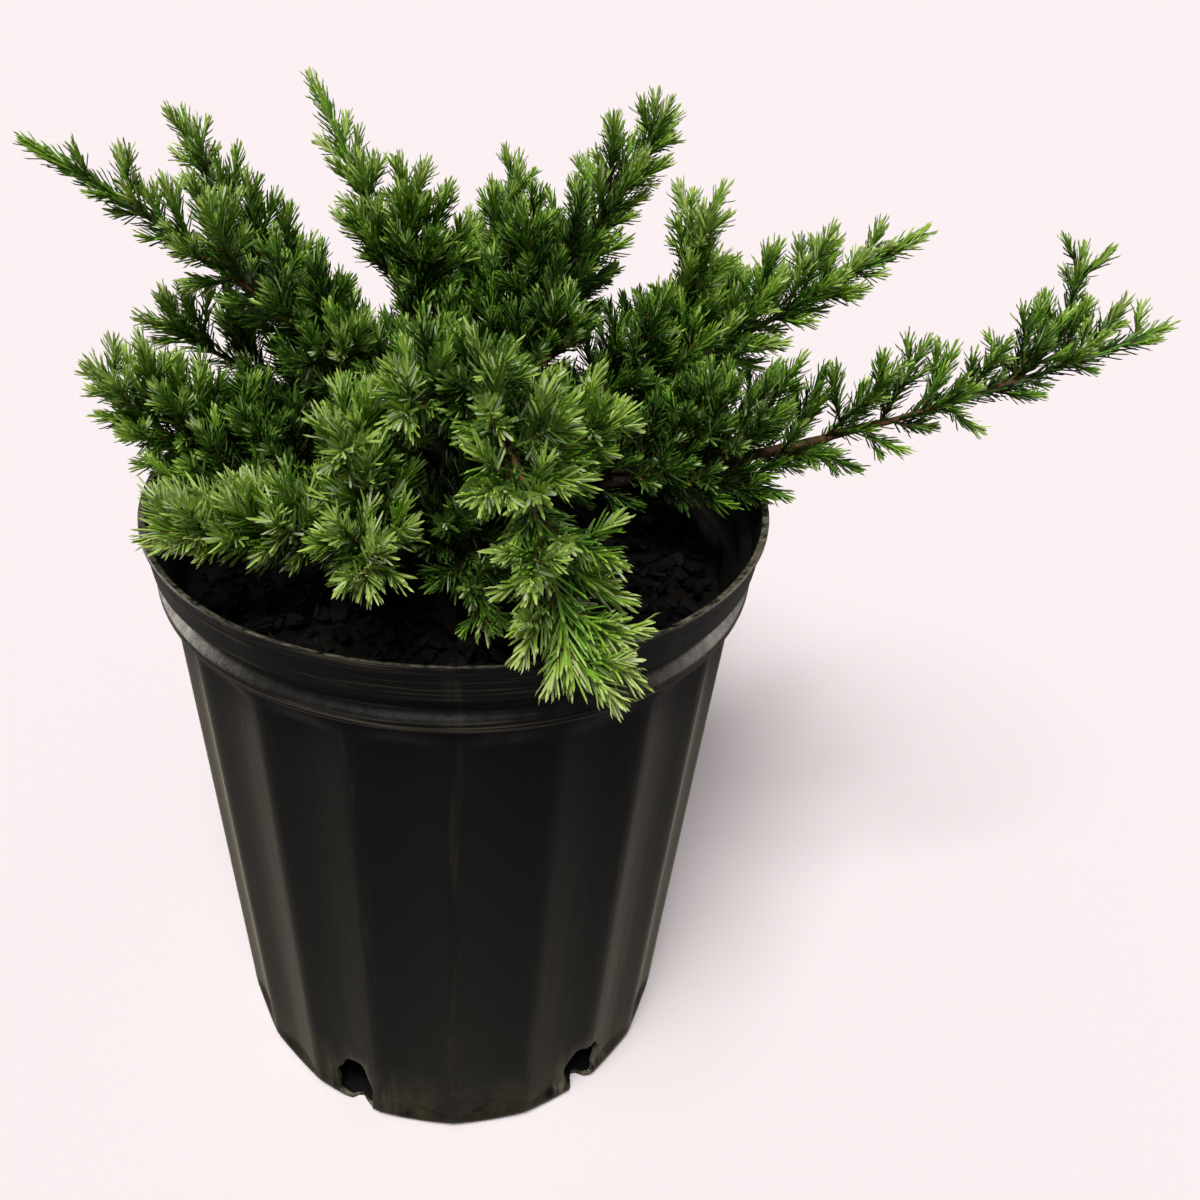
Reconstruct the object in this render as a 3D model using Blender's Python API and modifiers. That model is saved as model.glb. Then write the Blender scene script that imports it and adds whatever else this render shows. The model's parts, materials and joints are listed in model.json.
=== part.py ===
"""Low spreading conifer in a fluted nursery pot.

Metres, +Z up, +X to the plant's long right-hand shoot, -Y to its front.
The origin is the middle of the pot's flat underside.
"""

import math
import random
from collections import namedtuple

import bmesh
import bpy
from mathutils import Matrix, Vector
from mathutils.kdtree import KDTree

# Fit between pieces that rest on or meet each other, and the distance that joins points
GAP = 0.0003
MERGE_DISTANCE = 0.000002

# Pot: a thin moulded wall with concave flutes under a bead, a groove and a flared lip
POT_HEIGHT = 0.178
LIP_RADIUS = 0.0825
BAND_RADIUS = 0.0811
BAND_HEIGHT = 0.011
GROOVE_RADIUS = 0.0785
GROOVE_HEIGHT = 0.004
BEAD_RADIUS = 0.0801
BEAD_HEIGHT = 0.005
BEAD_SLOPE = 0.0013
BODY_TOP_RADIUS = 0.0774
BODY_FOOT_RADIUS = 0.068
FOOT_ROUND = 0.003
WALL = 0.0016
FLUTES = 20
FLUTE_DEPTH = 0.0020
FLUTE_FADE = 0.008
POT_SEGMENTS = 2 * FLUTES
DRAIN_HOLES = 6
DRAIN_FIRST_ANGLE = -55
DRAIN_RADIUS = 0.0055
DRAIN_LENGTH = 0.020
DRAIN_HEIGHT = 0.002
DRAIN_TILT = 62

# Growing mix: fills the pot and rises a little to the stem
SOIL_EDGE_HEIGHT = 0.153
SOIL_CROWN_HEIGHT = 0.157
SOIL_FLAT_RADIUS = 0.010
SOIL_RINGS = 4
SOIL_SEGMENTS = 32
SOIL_ROUGHNESS = 0.0012
SOIL_FOOT_INSET = 0.0075

# Trunk: a short leaning stem that flares at the soil
TRUNK_FOOT = Vector((0.002, 0.008, SOIL_CROWN_HEIGHT + GAP))
TRUNK_LEAN = Vector((0.0029, 0.0015, 0.0287))
TRUNK_FLARE_RADIUS = 0.0072
TRUNK_RADIUS = 0.0047
TRUNK_FORK_RADIUS = 0.0038
TRUNK_FLARE_SHARES = (0.12, 0.30)
LEVEL_BAND = 0.0025

# Boughs: every shoot tapers evenly from its root to its tip
MAIN_RADIUS = 0.0022
FORK_SHARE = 0.75
FORK_MIN_RADIUS = 0.0012
TIP_RADIUS = 0.0007
PATH_STEPS = 24
TUBE_POINT_SPACING = 0.011

# Sprays: a slim three-sided core whose faces are drawn out into needles
SPRAY_SPACING = 0.0068
SPACING_PER_LENGTH = 0.014
SPRAY_ANGLE = 52
SPRAY_LIFT = 0.30
SPRAY_LENGTH = 0.032
SPRAY_TIP_SHARE = 0.4
SPRAY_SIZES = ((1.0, 1.0), (0.8, 0.86), (0.62, 0.73), (0.48, 0.64))
LONG_SPRAY = 0.030
SPRAY_ROOT = 0.0035
SPRAY_FREE_ROOT = 0.0056
SPRAY_CORE_RADIUS = 0.0014
SPRAY_CORE_TAPER = 0.6
SPRAY_ROW_TWIST = 40
FIRST_SPRAY = 0.006
ANGLE_PLAY = 8
SIZE_PLAY = 0.15
NEEDLE_OUT = 0.0078
NEEDLE_FORWARD = 0.0065
NEEDLE_ROWS = 3
TERMINAL_LENGTH = 0.018
LAST_SPRAY = 0.011
STEM_STOP = 0.0145
TERMINAL_NEEDLES = (1.0, 0.75, 0.5, 0.25)
GOLDEN_ANGLE = 137.5
SIDE_TRIES = (0, 90, -90, 180)

# Room that foliage keeps to the next mass, to limbs and to the pot
SPACE_MARGIN = 0.0014
LIMB_MARGIN = 0.0012
STEM_SAMPLES = 30
LIMB_SAMPLES = 40
NEAREST_STEMS = 70
NEAREST_LIMBS = 6

# parent and place: what the shoot grows from, and the share of its length;
# heading and turn: compass angle from +X at the root, and its change to the tip;
# rise and lift: slope at the root, and at the tip, in degrees;
# bare: share of the length that is bare bough
Shoot = namedtuple("Shoot", "parent place heading turn rise lift length bare")

SHOOTS = {
    "left_arch": Shoot("trunk", 0.69, -170, -8, 53, 32, 0.136, 0.33),
    "left_upper": Shoot("left_arch", 0.30, 152, -23, 30, 64, 0.085, 0.15),
    "middle_front": Shoot("left_arch", 0.25, -40, -30, 12, 50, 0.039, 0.20),
    "tall_left": Shoot("trunk", 0.93, 130, 2, 61, 49, 0.108, 0.34),
    "tall_left_fork": Shoot("tall_left", 0.30, 98, 60, 68, 79, 0.046, 0.15),
    "back_middle": Shoot("trunk", 0.97, 72, 6, 47, 58, 0.087, 0.28),
    "back_low": Shoot("back_middle", 0.25, 103, -21, 14, 25, 0.071, 0.15),
    "tall_right": Shoot("trunk", 0.77, 43, -8, 61, 40, 0.114, 0.36),
    "tall_right_fork": Shoot("tall_right", 0.32, 104, -64, 48, 72, 0.043, 0.15),
    "back_right_low": Shoot("tall_right", 0.27, 73, -5, 9, 9, 0.075, 0.15),
    "middle_right": Shoot("tall_right", 0.22, 330, -10, 36, 70, 0.030, 0.20),
    "right_reach": Shoot("trunk", 0.63, 10, 8, 26, 25, 0.144, 0.36),
    "right_upright": Shoot("right_reach", 0.32, 33, -20, 36, 98, 0.056, 0.15),
    "right_back_low": Shoot("right_reach", 0.25, 46, 2, 16, 2, 0.082, 0.20),
    "right_long": Shoot("trunk", 0.38, -13, 29, 14, 17, 0.194, 0.31),
    "right_inner": Shoot("right_long", 0.28, -5, 34, 44, 74, 0.029, 0.20),
    "left_middle": Shoot("trunk", 0.45, 169, 14, 32, 30, 0.096, 0.34),
    "left_inner": Shoot("left_middle", 0.31, 268, 1, 57, 54, 0.048, 0.15),
    "back_left_low": Shoot("left_middle", 0.25, 119, 17, 37, 9, 0.095, 0.15),
    "left_low": Shoot("left_middle", 0.18, 208, -19, -6, 64, 0.091, 0.39),
    "left_low_fork": Shoot("left_low", 0.35, 240, -15, 29, 4, 0.042, 0.15),
    "front_left": Shoot("trunk", 0.41, 240, -51, 8, 17, 0.092, 0.42),
    "front_left_fork": Shoot("front_left", 0.39, 268, 8, 26, -2, 0.041, 0.15),
    "front_left_upper": Shoot("front_left", 0.29, 236, 35, 58, 30, 0.053, 0.15),
    "front_low": Shoot("front_left", 0.18, 302, -32, 16, -31, 0.051, 0.20),
    "front_drape": Shoot("trunk", 0.66, -90, 34, 80, -76, 0.136, 0.44),
    "front_drape_fork": Shoot("front_drape", 0.40, 293, 85, -29, 54, 0.044, 0.15),
    "front_upper": Shoot("front_drape", 0.28, 250, 12, 28, 12, 0.047, 0.15),
}

# Longer side twigs that belong to a mass: its name, place on the whole shoot, then as above
Twig = namedtuple("Twig", "mass place heading turn rise lift length")

TWIGS = [
    Twig("right_long", 0.72, 7, 73, 23, 70, 0.049),
]


def clear_scene():
    """Remove every object that the file opened with."""
    for obj in list(bpy.data.objects):
        bpy.data.objects.remove(obj)


def new_collection(name, hidden=False):
    """Add a collection to the scene."""
    collection = bpy.data.collections.new(name)
    bpy.context.scene.collection.children.link(collection)
    collection.hide_render = hidden
    return collection


def new_material(name, colour, roughness):
    """A plain dielectric finish."""
    material = bpy.data.materials.new(name)
    material.use_nodes = True
    shader = material.node_tree.nodes["Principled BSDF"]
    shader.inputs["Base Color"].default_value = (*colour, 1.0)
    shader.inputs["Roughness"].default_value = roughness
    shader.inputs["Metallic"].default_value = 0.0
    return material


def add_object(name, mesh, collection, material=None):
    """Put a mesh in the scene as a named object."""
    obj = bpy.data.objects.new(name, mesh)
    collection.objects.link(obj)
    if material:
        mesh.materials.clear()
        mesh.materials.append(material)
    return obj


def evaluated_mesh(obj):
    """The object's mesh with its modifiers or curve bevel applied."""
    graph = bpy.context.evaluated_depsgraph_get()
    return bpy.data.meshes.new_from_object(obj.evaluated_get(graph))


def remove_object(obj):
    """Remove an object and the data that only it used."""
    data = obj.data
    bpy.data.objects.remove(obj)
    if isinstance(data, bpy.types.Mesh):
        bpy.data.meshes.remove(data)
    else:
        bpy.data.curves.remove(data)


def direction(heading, rise):
    """Unit vector for a compass angle and a slope in degrees."""
    flat = math.cos(math.radians(rise))
    return Vector((flat * math.cos(math.radians(heading)), flat * math.sin(math.radians(heading)),
                   math.sin(math.radians(rise))))


def tube(points, radii, sides_step, collection):
    """Mesh tube with filled caps along a chain of points."""
    curve = bpy.data.curves.new("tube", "CURVE")
    curve.dimensions = "3D"
    curve.bevel_depth = 1.0
    curve.bevel_resolution = sides_step
    curve.use_fill_caps = True
    spline = curve.splines.new("POLY")
    spline.points.add(len(points) - 1)
    for spline_point, point, radius in zip(spline.points, points, radii):
        spline_point.co = (*point, 1.0)
        spline_point.radius = radius
    obj = bpy.data.objects.new("tube", curve)
    collection.objects.link(obj)
    bpy.context.view_layer.update()
    mesh = evaluated_mesh(obj)
    remove_object(obj)
    shape = bmesh.new()
    shape.from_mesh(mesh)
    bmesh.ops.remove_doubles(shape, verts=shape.verts, dist=MERGE_DISTANCE)
    bmesh.ops.recalc_face_normals(shape, faces=shape.faces)
    shape.to_mesh(mesh)
    shape.free()
    return mesh


# ---------------------------------------------------------------- pot and growing mix

def body_radius(height):
    """Radius of the flutes' arrises at a height."""
    top = POT_HEIGHT - BAND_HEIGHT - GROOVE_HEIGHT - BEAD_HEIGHT
    share = (height - FOOT_ROUND) / (top - FOOT_ROUND)
    return BODY_FOOT_RADIUS + (BODY_TOP_RADIUS - BODY_FOOT_RADIUS) * share


def pot_profile():
    """Outer side of the pot, from the lip down to the middle of the underside."""
    band_foot = POT_HEIGHT - BAND_HEIGHT
    groove_foot = band_foot - GROOVE_HEIGHT
    bead_foot = groove_foot - BEAD_HEIGHT
    return [
        (LIP_RADIUS, POT_HEIGHT),
        (BAND_RADIUS, band_foot),
        (GROOVE_RADIUS, band_foot - BEAD_SLOPE),
        (GROOVE_RADIUS, groove_foot),
        (BEAD_RADIUS, groove_foot - BEAD_SLOPE),
        (BEAD_RADIUS, bead_foot + BEAD_SLOPE),
        (body_radius(bead_foot), bead_foot),
        (body_radius(bead_foot - FLUTE_FADE), bead_foot - FLUTE_FADE),
        (BODY_FOOT_RADIUS, FOOT_ROUND),
        (BODY_FOOT_RADIUS - FOOT_ROUND, 0.0),
        (0.0, 0.0),
    ]


def flute_pot(mesh):
    """Draw every second edge of the body inwards, so that it lies in a flute."""
    top = POT_HEIGHT - BAND_HEIGHT - GROOVE_HEIGHT - BEAD_HEIGHT - 0.5 * FLUTE_FADE
    for vertex in mesh.vertices:
        x, y, z = vertex.co
        radius = math.hypot(x, y)
        if z > top or z < 0.5 * FOOT_ROUND:
            continue
        angle = math.atan2(y, x)
        depth = FLUTE_DEPTH * abs(math.sin(0.5 * FLUTES * angle))
        vertex.co = (x * (radius - depth) / radius, y * (radius - depth) / radius, z)


def turned_mesh(profile, segments, collection):
    """Surface swept by a profile once round +Z."""
    mesh = bpy.data.meshes.new("profile")
    edges = [(i, i + 1) for i in range(len(profile) - 1)]
    mesh.from_pydata([(radius, 0.0, height) for radius, height in profile], edges, [])
    sketch = add_object("sketch", mesh, collection)
    screw = sketch.modifiers.new("turn", "SCREW")
    screw.steps = segments
    screw.render_steps = segments
    screw.use_merge_vertices = True
    screw.merge_threshold = MERGE_DISTANCE
    turned = evaluated_mesh(sketch)
    remove_object(sketch)
    return turned


def build_pot(parts, cutters, material):
    """Fluted shell with a lip and drain holes round its foot."""
    shell = turned_mesh(pot_profile(), POT_SEGMENTS, cutters)
    flute_pot(shell)
    pot = add_object("pot", shell, parts, material)
    solidify = pot.modifiers.new("wall", "SOLIDIFY")
    solidify.thickness = WALL
    solidify.offset = -1.0
    for index in range(DRAIN_HOLES):
        cut = pot.modifiers.new("drain", "BOOLEAN")
        cut.operation = "DIFFERENCE"
        cut.object = drain_cutter(index, cutters)


def drain_cutter(index, cutters):
    """Short cylinder through the corner between the wall and the underside."""
    angle = math.radians(DRAIN_FIRST_ANGLE + index * 360 / DRAIN_HOLES)
    mesh = bpy.data.meshes.new("drain_cutter")
    shape = bmesh.new()
    bmesh.ops.create_cone(shape, segments=8, radius1=DRAIN_RADIUS, radius2=DRAIN_RADIUS,
                          depth=DRAIN_LENGTH, cap_ends=True)
    shape.to_mesh(mesh)
    shape.free()
    cutter = add_object(f"drain_cutter_{index}", mesh, cutters)
    cutter.location = (BODY_FOOT_RADIUS * math.cos(angle), BODY_FOOT_RADIUS * math.sin(angle),
                       DRAIN_HEIGHT)
    cutter.rotation_euler = (0.0, math.radians(DRAIN_TILT), angle)
    cutter.hide_render = True
    cutter.display_type = "WIRE"
    return cutter


def soil_radius(height):
    """Widest radius that clears the inside of the flutes."""
    inside = body_radius(height) - FLUTE_DEPTH - WALL - GAP
    return inside * math.cos(math.pi / POT_SEGMENTS)


def build_soil(parts, cutters, material):
    """Solid of growing mix, uneven on top, with a flat seat for the stem."""
    foot = WALL + GAP
    rim = soil_radius(SOIL_EDGE_HEIGHT)
    profile = [(0.0, SOIL_CROWN_HEIGHT)]
    for ring in range(SOIL_RINGS + 1):
        share = ring / SOIL_RINGS
        radius = SOIL_FLAT_RADIUS + (rim - SOIL_FLAT_RADIUS) * share
        height = SOIL_CROWN_HEIGHT + (SOIL_EDGE_HEIGHT - SOIL_CROWN_HEIGHT) * share ** 2
        profile.append((radius, height))
    profile.append((soil_radius(2 * FOOT_ROUND), 2 * FOOT_ROUND))
    profile.append((BODY_FOOT_RADIUS - SOIL_FOOT_INSET, foot))
    profile.append((0.0, foot))
    solid = turned_mesh(profile, SOIL_SEGMENTS, cutters)
    dice = random.Random("soil")
    for vertex in solid.vertices:
        on_top = vertex.co.z > SOIL_EDGE_HEIGHT - SOIL_ROUGHNESS
        if on_top and vertex.co.xy.length > SOIL_FLAT_RADIUS + GAP:
            vertex.co.z += dice.uniform(-SOIL_ROUGHNESS, SOIL_ROUGHNESS)
    add_object("soil", solid, parts, material)


# ---------------------------------------------------------------- trunk and boughs

def build_trunk(path, parts, material):
    """Short stem, cut flat at the growing mix, flared at its root, to its fork."""
    shares = [0.0, *TRUNK_FLARE_SHARES, 1.0]
    radii = [path.radius(share) for share in shares]
    radii[0] = TRUNK_FLARE_RADIUS
    radii[1] = (TRUNK_FLARE_RADIUS + 3.0 * TRUNK_RADIUS) / 4.0
    mesh = tube([path.at(share) for share in shares], radii, 2, parts)
    level_foot(mesh, TRUNK_FOOT.z)
    add_object("trunk", mesh, parts, material)


def level_foot(mesh, height):
    """Set the lowest ring of a leaning tube on one level."""
    lowest = min(vertex.co.z for vertex in mesh.vertices)
    for vertex in mesh.vertices:
        if vertex.co.z < lowest + LEVEL_BAND:
            vertex.co.z = height


class Path:
    """Centre line of a shoot, with its even taper."""

    def __init__(self, points, root_radius, tip_radius):
        self.points = points
        self.root_radius = root_radius
        self.tip_radius = tip_radius

    @property
    def length(self):
        steps = zip(self.points, self.points[1:])
        return sum((after - before).length for before, after in steps)

    def at(self, share):
        """Point at a share of the length."""
        place = min(max(share, 0.0), 1.0) * (len(self.points) - 1)
        index = min(int(place), len(self.points) - 2)
        return self.points[index].lerp(self.points[index + 1], place - index)

    def tangent(self, share):
        """Unit direction of growth at a share of the length."""
        step = 0.5 / (len(self.points) - 1)
        return (self.at(share + step) - self.at(share - step)).normalized()

    def radius(self, share):
        """Radius at a share of the length."""
        return self.root_radius + (self.tip_radius - self.root_radius) * share

    def part(self, start, end, spacing):
        """Points and radii of one stretch of the path."""
        count = max(2, round((end - start) * self.length / spacing) + 1)
        shares = [start + (end - start) * i / (count - 1) for i in range(count)]
        return [self.at(share) for share in shares], [self.radius(share) for share in shares]


def grow_path(start, shoot):
    """Points of a shoot that turns and lifts evenly along its length."""
    points = [start]
    for step in range(PATH_STEPS):
        share = (step + 0.5) / PATH_STEPS
        heading = shoot.heading + shoot.turn * share
        rise = shoot.rise + (shoot.lift - shoot.rise) * share
        points.append(points[-1] + direction(heading, rise) * shoot.length / PATH_STEPS)
    return points


def root_beside(parent, place, aim, radius):
    """Point where a limb's root cap clears its parent's side by the fit gap."""
    along = parent.tangent(place)
    outward = (aim - aim.dot(along) * along).normalized()
    slant = math.sqrt(max(0.0, 1.0 - outward.dot(aim) ** 2))
    return parent.at(place) + outward * (parent.radius(place) + GAP + radius * slant)


def plan_paths():
    """Centre line of the trunk and of every shoot, each started from its parent."""
    trunk_points = [TRUNK_FOOT, TRUNK_FOOT + TRUNK_LEAN]
    paths = {"trunk": Path(trunk_points, TRUNK_RADIUS, TRUNK_FORK_RADIUS)}
    for name, shoot in SHOOTS.items():
        parent = paths[shoot.parent]
        radius = MAIN_RADIUS
        if shoot.parent != "trunk":
            radius = max(FORK_MIN_RADIUS, FORK_SHARE * parent.radius(shoot.place))
        start = root_beside(parent, shoot.place, direction(shoot.heading, shoot.rise), radius)
        paths[name] = Path(grow_path(start, shoot), radius, TIP_RADIUS)
    return paths


def plan_twigs(paths):
    """Centre lines of the longer side twigs, each rooted inside its mass's stem."""
    planned = []
    for twig in TWIGS:
        parent = paths[twig.mass]
        radius = FORK_SHARE * parent.radius(twig.place)
        path = Path(grow_path(parent.at(twig.place), twig), radius, TIP_RADIUS)
        planned.append((twig, path))
    return planned


def build_bough(name, path, bare, parts, material):
    """One tapering limb, from its parent to where the foliage starts."""
    points, radii = path.part(0.0, bare, TUBE_POINT_SPACING)
    add_object("bough_" + name, tube(points, radii, 1, parts), parts, material)


# ---------------------------------------------------------------- foliage

class Room:
    """Tells whether a point lies in a mass's own space."""

    def __init__(self, paths, twig_paths):
        self.owners = []
        places = []
        for name, shoot in SHOOTS.items():
            places += self.sample(name, paths[name], shoot.bare)
        for twig, path in twig_paths:
            places += self.sample(twig.mass, path, 0.0)
        self.stems = self.tree(places)
        limbs = []
        self.limb_radii = []
        for name, path in paths.items():
            bare = 1.0 if name == "trunk" else SHOOTS[name].bare
            for step in range(LIMB_SAMPLES + 1):
                share = bare * step / LIMB_SAMPLES
                limbs.append(path.at(share))
                self.limb_radii.append(path.radius(share))
        self.limbs = self.tree(limbs)

    def sample(self, name, path, start):
        """Points along a stem, each noted as the mass's own."""
        shares = [start + (1.0 - start) * step / STEM_SAMPLES for step in range(STEM_SAMPLES + 1)]
        self.owners += [name] * len(shares)
        return [path.at(share) for share in shares]

    @staticmethod
    def tree(places):
        """Search tree over points."""
        tree = KDTree(len(places))
        for index, place in enumerate(places):
            tree.insert(place, index)
        tree.balance()
        return tree

    def holds(self, name, point):
        """True where the point is nearest to the mass's stem and clear of everything else."""
        own = None
        for _, index, distance in self.stems.find_n(point, NEAREST_STEMS):
            if self.owners[index] == name:
                own = distance if own is None else own
            elif own is None or distance < own + SPACE_MARGIN:
                return False
            else:
                break
        for _, index, distance in self.limbs.find_n(point, NEAREST_LIMBS):
            if distance < self.limb_radii[index] + LIMB_MARGIN:
                return False
        return clear_of_pot(point)


def clear_of_pot(point):
    """True where a point touches neither the pot nor the growing mix."""
    radius = math.hypot(point.x, point.y)
    if point.z > POT_HEIGHT + SPACE_MARGIN or radius > LIP_RADIUS + SPACE_MARGIN:
        return True
    inside = radius < body_radius(SOIL_EDGE_HEIGHT) - FLUTE_DEPTH - WALL - 2 * SPACE_MARGIN
    return inside and point.z > SOIL_CROWN_HEIGHT + SOIL_ROUGHNESS + SPACE_MARGIN


def frame_along(aim):
    """Rotation that turns +Z to the direction of growth."""
    return aim.to_track_quat("Z", "Y").to_matrix().to_4x4()


def spray_mesh(start, aim, length, spin, needle):
    """Slim core, its root plain, each face above it drawn out into a forward needle."""
    shape = bmesh.new()
    place = Matrix.Translation(start) @ frame_along(aim) @ Matrix.Rotation(spin, 4, "Z")
    rows = NEEDLE_ROWS if length > LONG_SPRAY else NEEDLE_ROWS - 1
    bmesh.ops.create_cone(shape, segments=3, radius1=SPRAY_CORE_RADIUS,
                          radius2=SPRAY_CORE_TAPER * SPRAY_CORE_RADIUS, depth=length,
                          cap_ends=True)
    bmesh.ops.translate(shape, verts=shape.verts, vec=(0.0, 0.0, 0.5 * length))
    row_height = (length - SPRAY_ROOT) / rows
    for row in range(rows):
        bmesh.ops.bisect_plane(shape, geom=shape.verts[:] + shape.edges[:] + shape.faces[:],
                               plane_co=(0.0, 0.0, SPRAY_ROOT + row * row_height),
                               plane_no=(0.0, 0.0, 1.0))
    for vertex in shape.verts:
        turn = math.radians(SPRAY_ROW_TWIST) * max(0.0, (vertex.co.z - SPRAY_ROOT) / row_height)
        vertex.co = Matrix.Rotation(turn, 3, "Z") @ vertex.co
    shape.normal_update()
    faces = [face for face in shape.faces if face.calc_center_median().z > SPRAY_ROOT]
    drawn = bmesh.ops.poke(shape, faces=faces)
    for vertex in drawn["verts"]:
        outward = Vector((vertex.co.x, vertex.co.y, 0.0))
        vertex.co.z += needle * NEEDLE_FORWARD
        if outward.length > GAP:
            vertex.co += outward.normalized() * needle * NEEDLE_OUT
    mesh = bpy.data.meshes.new("spray")
    shape.transform(place)
    bmesh.ops.recalc_face_normals(shape, faces=shape.faces)
    shape.to_mesh(mesh)
    shape.free()
    return mesh


def spray_fits(name, mesh, start, room):
    """True where the whole spray, past its root, lies in the mass's space."""
    for edge in mesh.edges:
        first, last = (mesh.vertices[index].co for index in edge.vertices)
        for share in (0.0, 0.5, 1.0):
            point = first.lerp(last, share)
            if (point - start).length > SPRAY_FREE_ROOT and not room.holds(name, point):
                return False
    return True


def add_spray(name, start, aim, sizes, spin, room, crowd):
    """Add the first of a few sizes that fits, each a length and a needle share, or none."""
    for length, needle in sizes:
        mesh = spray_mesh(start, aim, length, spin, needle)
        if spray_fits(name, mesh, start, room):
            add_object("spray", mesh, crowd)
            return True
        bpy.data.meshes.remove(mesh)
    return False


def clothe(name, path, start, dice, room, crowd):
    """Set sprays round a stem by the golden angle, and one at its tip."""
    length = path.length
    place = start + FIRST_SPRAY / length
    turn = dice.uniform(0.0, 360.0)
    while place < 1.0 - LAST_SPRAY / length:
        along = path.tangent(place)
        level = along.cross(Vector((0.0, 0.0, 1.0))).normalized()
        above = level.cross(along)
        turn += GOLDEN_ANGLE
        open_angle = math.radians(SPRAY_ANGLE + dice.uniform(-ANGLE_PLAY, ANGLE_PLAY))
        grown = (place - start) / (1.0 - start)
        play = dice.uniform(1.0 - SIZE_PLAY, 1.0 + SIZE_PLAY)
        reach = SPRAY_LENGTH * (1.0 + (SPRAY_TIP_SHARE - 1.0) * grown) * play
        sizes = [(share * reach, needle) for share, needle in SPRAY_SIZES]
        spin = dice.uniform(0.0, math.tau)
        for side_step in SIDE_TRIES:
            side = math.radians(turn + side_step)
            outward = level * math.cos(side) + above * math.sin(side)
            aim = along * math.cos(open_angle) + outward * math.sin(open_angle)
            aim.z += SPRAY_LIFT
            if add_spray(name, path.at(place), aim.normalized(), sizes, spin, room, crowd):
                break
        play = dice.uniform(1.0 - SIZE_PLAY, 1.0 + SIZE_PLAY)
        place += (SPRAY_SPACING + SPACING_PER_LENGTH * length) * play / length
    last = 1.0 - TERMINAL_LENGTH / length
    sizes = [(TERMINAL_LENGTH - NEEDLE_FORWARD * needle, needle) for needle in TERMINAL_NEEDLES]
    aim = path.tangent(1.0 - 0.5 * TERMINAL_LENGTH / length)
    add_spray(name, path.at(last), aim, sizes, 0.0, room, crowd)


def keep_largest_shell(mesh):
    """Drop loose scraps and sealed hollows, so that one closed body stays."""
    shape = bmesh.new()
    shape.from_mesh(mesh)
    bmesh.ops.remove_doubles(shape, verts=shape.verts, dist=MERGE_DISTANCE)
    shells = []
    unseen = set(shape.faces)
    while unseen:
        front = [unseen.pop()]
        shell = list(front)
        while front:
            face = front.pop()
            for edge in face.edges:
                for other in edge.link_faces:
                    if other in unseen:
                        unseen.remove(other)
                        front.append(other)
                        shell.append(other)
        shells.append(shell)
    shells.sort(key=len)
    for shell in shells[:-1]:
        bmesh.ops.delete(shape, geom=shell, context="FACES")
    bmesh.ops.triangulate(shape, faces=shape.faces)
    shape.to_mesh(mesh)
    shape.free()


def stem_mesh(path, start, crowd):
    """Four-sided tube along a shoot, up to its tip spray."""
    points, radii = path.part(start, 1.0 - STEM_STOP / path.length, TUBE_POINT_SPACING)
    return tube(points, radii, 0, crowd)


def build_mass(name, path, bare, twigs, room, parts, material):
    """One mass: its stem, longer twigs and sprays, joined by one union."""
    dice = random.Random(name)
    crowd = new_collection("crowd_" + name)
    start = bare + GAP / path.length
    stem = add_object("foliage_" + name, stem_mesh(path, start, crowd), parts, material)
    clothe(name, path, start, dice, room, crowd)
    for twig_path in twigs:
        add_object("twig", stem_mesh(twig_path, 0.0, crowd), crowd)
        clothe(name, twig_path, 0.0, dice, room, crowd)
    union = stem.modifiers.new("join", "BOOLEAN")
    union.operation = "UNION"
    union.operand_type = "COLLECTION"
    union.collection = crowd
    bpy.context.view_layer.update()
    joined = evaluated_mesh(stem)
    stem.modifiers.clear()
    loose = stem.data
    stem.data = joined
    bpy.data.meshes.remove(loose)
    for obj in list(crowd.objects):
        remove_object(obj)
    bpy.data.collections.remove(crowd)
    keep_largest_shell(joined)
    joined.materials.clear()
    joined.materials.append(material)


def main():
    clear_scene()
    parts = new_collection("potted_conifer")
    cutters = new_collection("cutters", hidden=True)
    black_plastic = new_material("pot_black_plastic", (0.012, 0.012, 0.012), 0.38)
    bark_mix = new_material("bark_growing_mix", (0.016, 0.011, 0.008), 0.95)
    bark = new_material("juvenile_bark", (0.13, 0.055, 0.030), 0.85)
    needles = new_material("needle_green", (0.10, 0.22, 0.035), 0.55)
    build_pot(parts, cutters, black_plastic)
    build_soil(parts, cutters, bark_mix)
    paths = plan_paths()
    twig_paths = plan_twigs(paths)
    build_trunk(paths["trunk"], parts, bark)
    room = Room(paths, twig_paths)
    for name, shoot in SHOOTS.items():
        build_bough(name, paths[name], shoot.bare, parts, bark)
        own_twigs = [path for twig, path in twig_paths if twig.mass == name]
        build_mass(name, paths[name], shoot.bare, own_twigs, room, parts, needles)


main()
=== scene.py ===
"""Finished surfaces of a low spreading conifer in a fluted nursery pot.

Metres, +Z up, +X to the plant's long right-hand shoot, -Y to its front.
Every piece is a surface worked out with numpy: a tube carried along a stem, a grid over two
parameters, or thousands of copies of one small form made as whole arrays.
"""

import json
import math
import random
from collections import namedtuple

import bpy
import numpy as np
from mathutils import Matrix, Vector
from mathutils.kdtree import KDTree

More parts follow.
